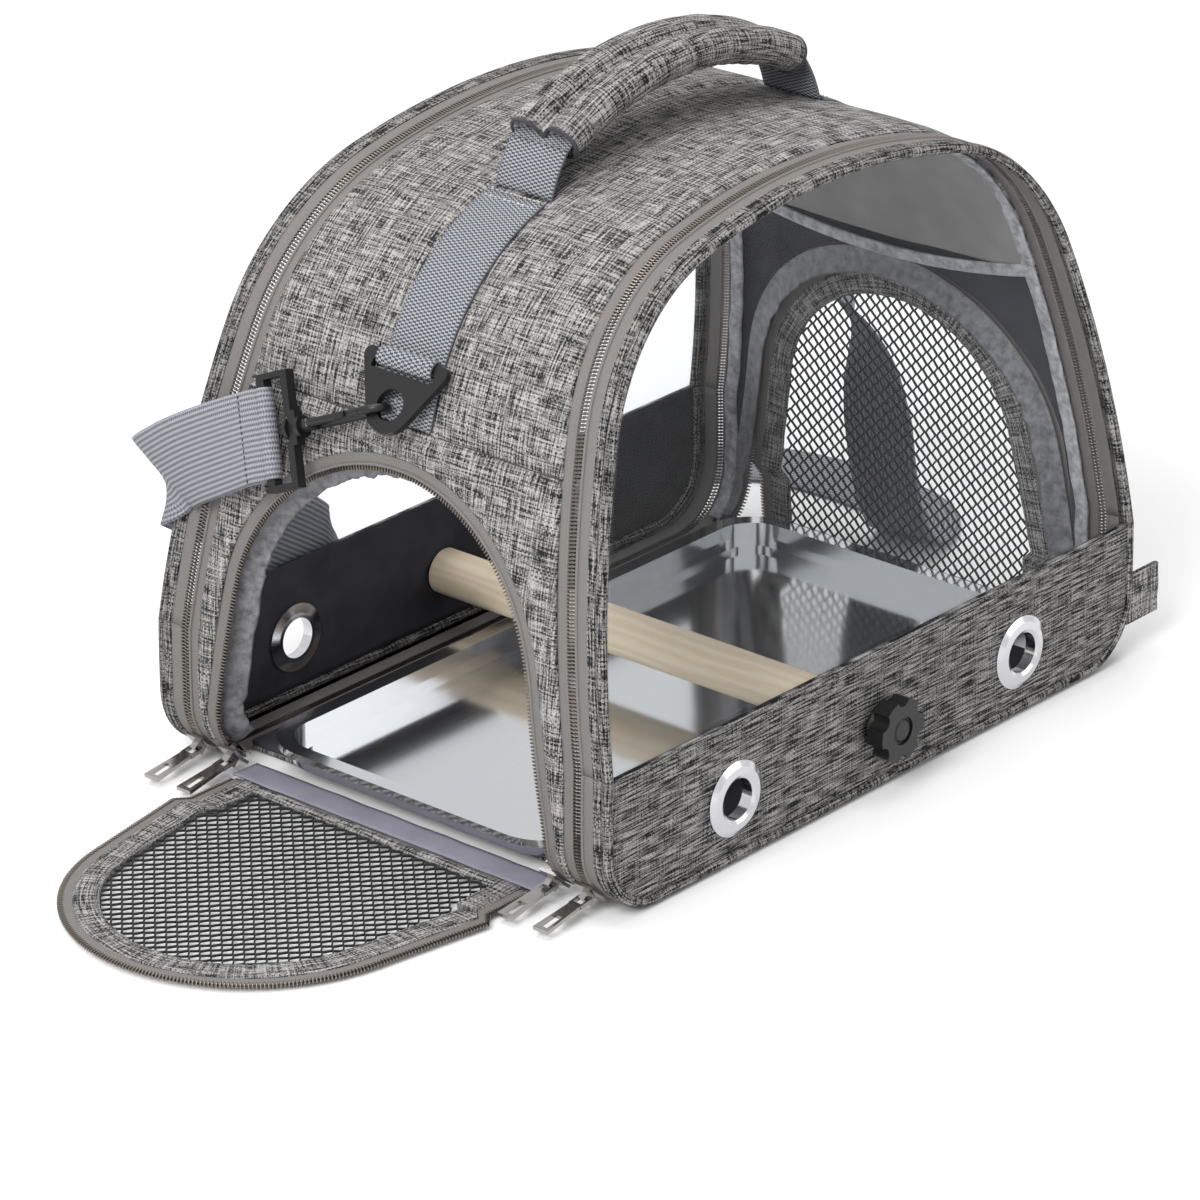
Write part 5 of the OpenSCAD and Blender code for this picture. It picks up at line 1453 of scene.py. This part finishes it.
def tab():
    """One strip of cloth: out, round the fold and back."""
    def at(z, t):
        if t < 0.42:
            x, y = TAB_L * t / 0.42, 0.0
        elif t < 0.58:
            a = (t - 0.42) / 0.16 * math.pi
            x, y = TAB_L + 1.2 * math.sin(a), TAB_FOLD * (1 - math.cos(a))
        else:
            x, y = TAB_L * (1 - t) / 0.42, 2 * TAB_FOLD
        return (TAB_AT[0] + x, TAB_AT[1] + y + 0.2 * math.sin(z * 0.4), z), (z, 40 * t)
    zs = np.linspace(TAB_AT[2], TAB_AT[2] + TAB_W, 14)
    return solidify(surface("corner_tab_cloth", zs, np.linspace(0, 1, 26), at), 0.7)

settle(tab(), "carrier", M_HEATHER, "heather_fabric", "corner_tab")
line = [(BODY_W / 2 + 12.5, -BASE_D / 2 + 0.6, z) for z in np.linspace(16, 36, 14)]
settle(stitch_line("corner_tab_stitches", line, (0, -1, 0)), "carrier", M_THREAD, "heather_fabric")
print("tab", PIECES[-2:])


# %% [markdown]
# ## Metal, plastic and wood kept from the CAD
# Rings, hooks, knobs, eyelets, tray, perch, sliders and pulls keep their exact CAD meshes, since hard parts
# are the same in looks and in construction. Each only gets a finish.

# %% Hard pieces
ZIPS = ("front", "back", "left_front", "left_rear", "right")
HOOKS = [side + piece for side in ("left", "right")
         for piece in ("_ring", "_hook", "_hook_gate", "_hook_frame")]
HARD = ((M_BLACK, HOOKS + ["tri_glide", "front_knob", "back_knob"]),
        (M_CHROME, ["eyelets", "eyelet_washers"]),
        (M_NICKEL, [zip_name + piece for zip_name in ZIPS for piece in ("_slider", "_pull")]),
        (M_STEEL, ["tray"]),
        (M_WOOD, ["perch"]))
for finish, nodes in HARD:
    for node in nodes:
        kept = frame["nodes"][node].data.materials
        kept.clear()
        kept.append(finish)
print("hard pieces", sum(len(nodes) for _, nodes in HARD))

# %% [markdown]
# ## Studio
# A pale floor that blends into white, one large soft key from the upper left, a weaker fill from the right
# and a top light. Large lamps give the soft shadows of a product picture. The background is white to the
# camera only: the world lights the scene at half strength, and a little more in reflections, so that the
# steel tray has something to mirror.

# %% Lights, world and floor
AMBIENT, MIRROR_EXTRA, FLOOR_Z = 0.5, 0.45, -0.0006

def area(name, place, aim, size, power):
    lamp = bpy.data.lights.new(name, "AREA")
    lamp.shape, lamp.size, lamp.energy = "SQUARE", size, power
    ob = bpy.data.objects.new(name, lamp)
    scene.collection.objects.link(ob)
    ob.location = place
    ob.rotation_euler = (Vector(aim) - Vector(place)).to_track_quat("-Z", "Y").to_euler()
    return ob

area("key", (-1.9, -0.5, 1.7), (0, 0, 0.1), 1.2, 46)
area("fill", (1.2, -2.0, 0.8), (0, 0, 0.1), 1.4, 9)
area("top", (0.1, 0.5, 2.1), (0, 0, 0.1), 1.6, 24)

def white_world():
    """Soft white light from all round, brighter in reflections, and plain white to the camera."""
    world = bpy.data.worlds.new("studio")
    scene.world = world
    world.use_nodes = True
    tree = world.node_tree
    tree.nodes.clear()
    new, link = tree.nodes.new, tree.links.new
    path, seen, level = new("ShaderNodeLightPath"), new("ShaderNodeMath"), new("ShaderNodeMath")
    soft, white = new("ShaderNodeBackground"), new("ShaderNodeBackground")
    mix, out = new("ShaderNodeMixShader"), new("ShaderNodeOutputWorld")
    for shader in (soft, white):
        shader.inputs["Color"].default_value = (1, 1, 1, 1)
    seen.operation, level.operation = "MAXIMUM", "MULTIPLY_ADD"
    level.inputs[1].default_value, level.inputs[2].default_value = MIRROR_EXTRA, AMBIENT
    link(path.outputs["Is Camera Ray"], seen.inputs[0])
    link(path.outputs["Is Transmission Ray"], seen.inputs[1])
    link(path.outputs["Is Glossy Ray"], level.inputs[0])
    link(level.outputs[0], soft.inputs["Strength"])
    link(seen.outputs[0], mix.inputs[0])
    link(soft.outputs[0], mix.inputs[1])
    link(white.outputs[0], mix.inputs[2])
    link(mix.outputs[0], out.inputs[0])

def floor():
    bm = bmesh.new()
    bmesh.ops.create_circle(bm, cap_ends=True, segments=96, radius=3.0)
    ob = new_piece("floor", bm, smooth=False)
    f = Finish("floor", Roughness=0.9, Specular_IOR_Level=0.1)
    x, y, _ = f.coords("Object")
    f.set("Base Color", f.mix(f.noise(x * 0.004, y * 0.004), (0.93, 0.93, 0.93), (0.97, 0.97, 0.97)))
    ob.data.materials.append(f.mat)
    ob.location.z = FLOOR_Z
    return ob

white_world()
floor()
scene.view_settings.view_transform = "Standard"
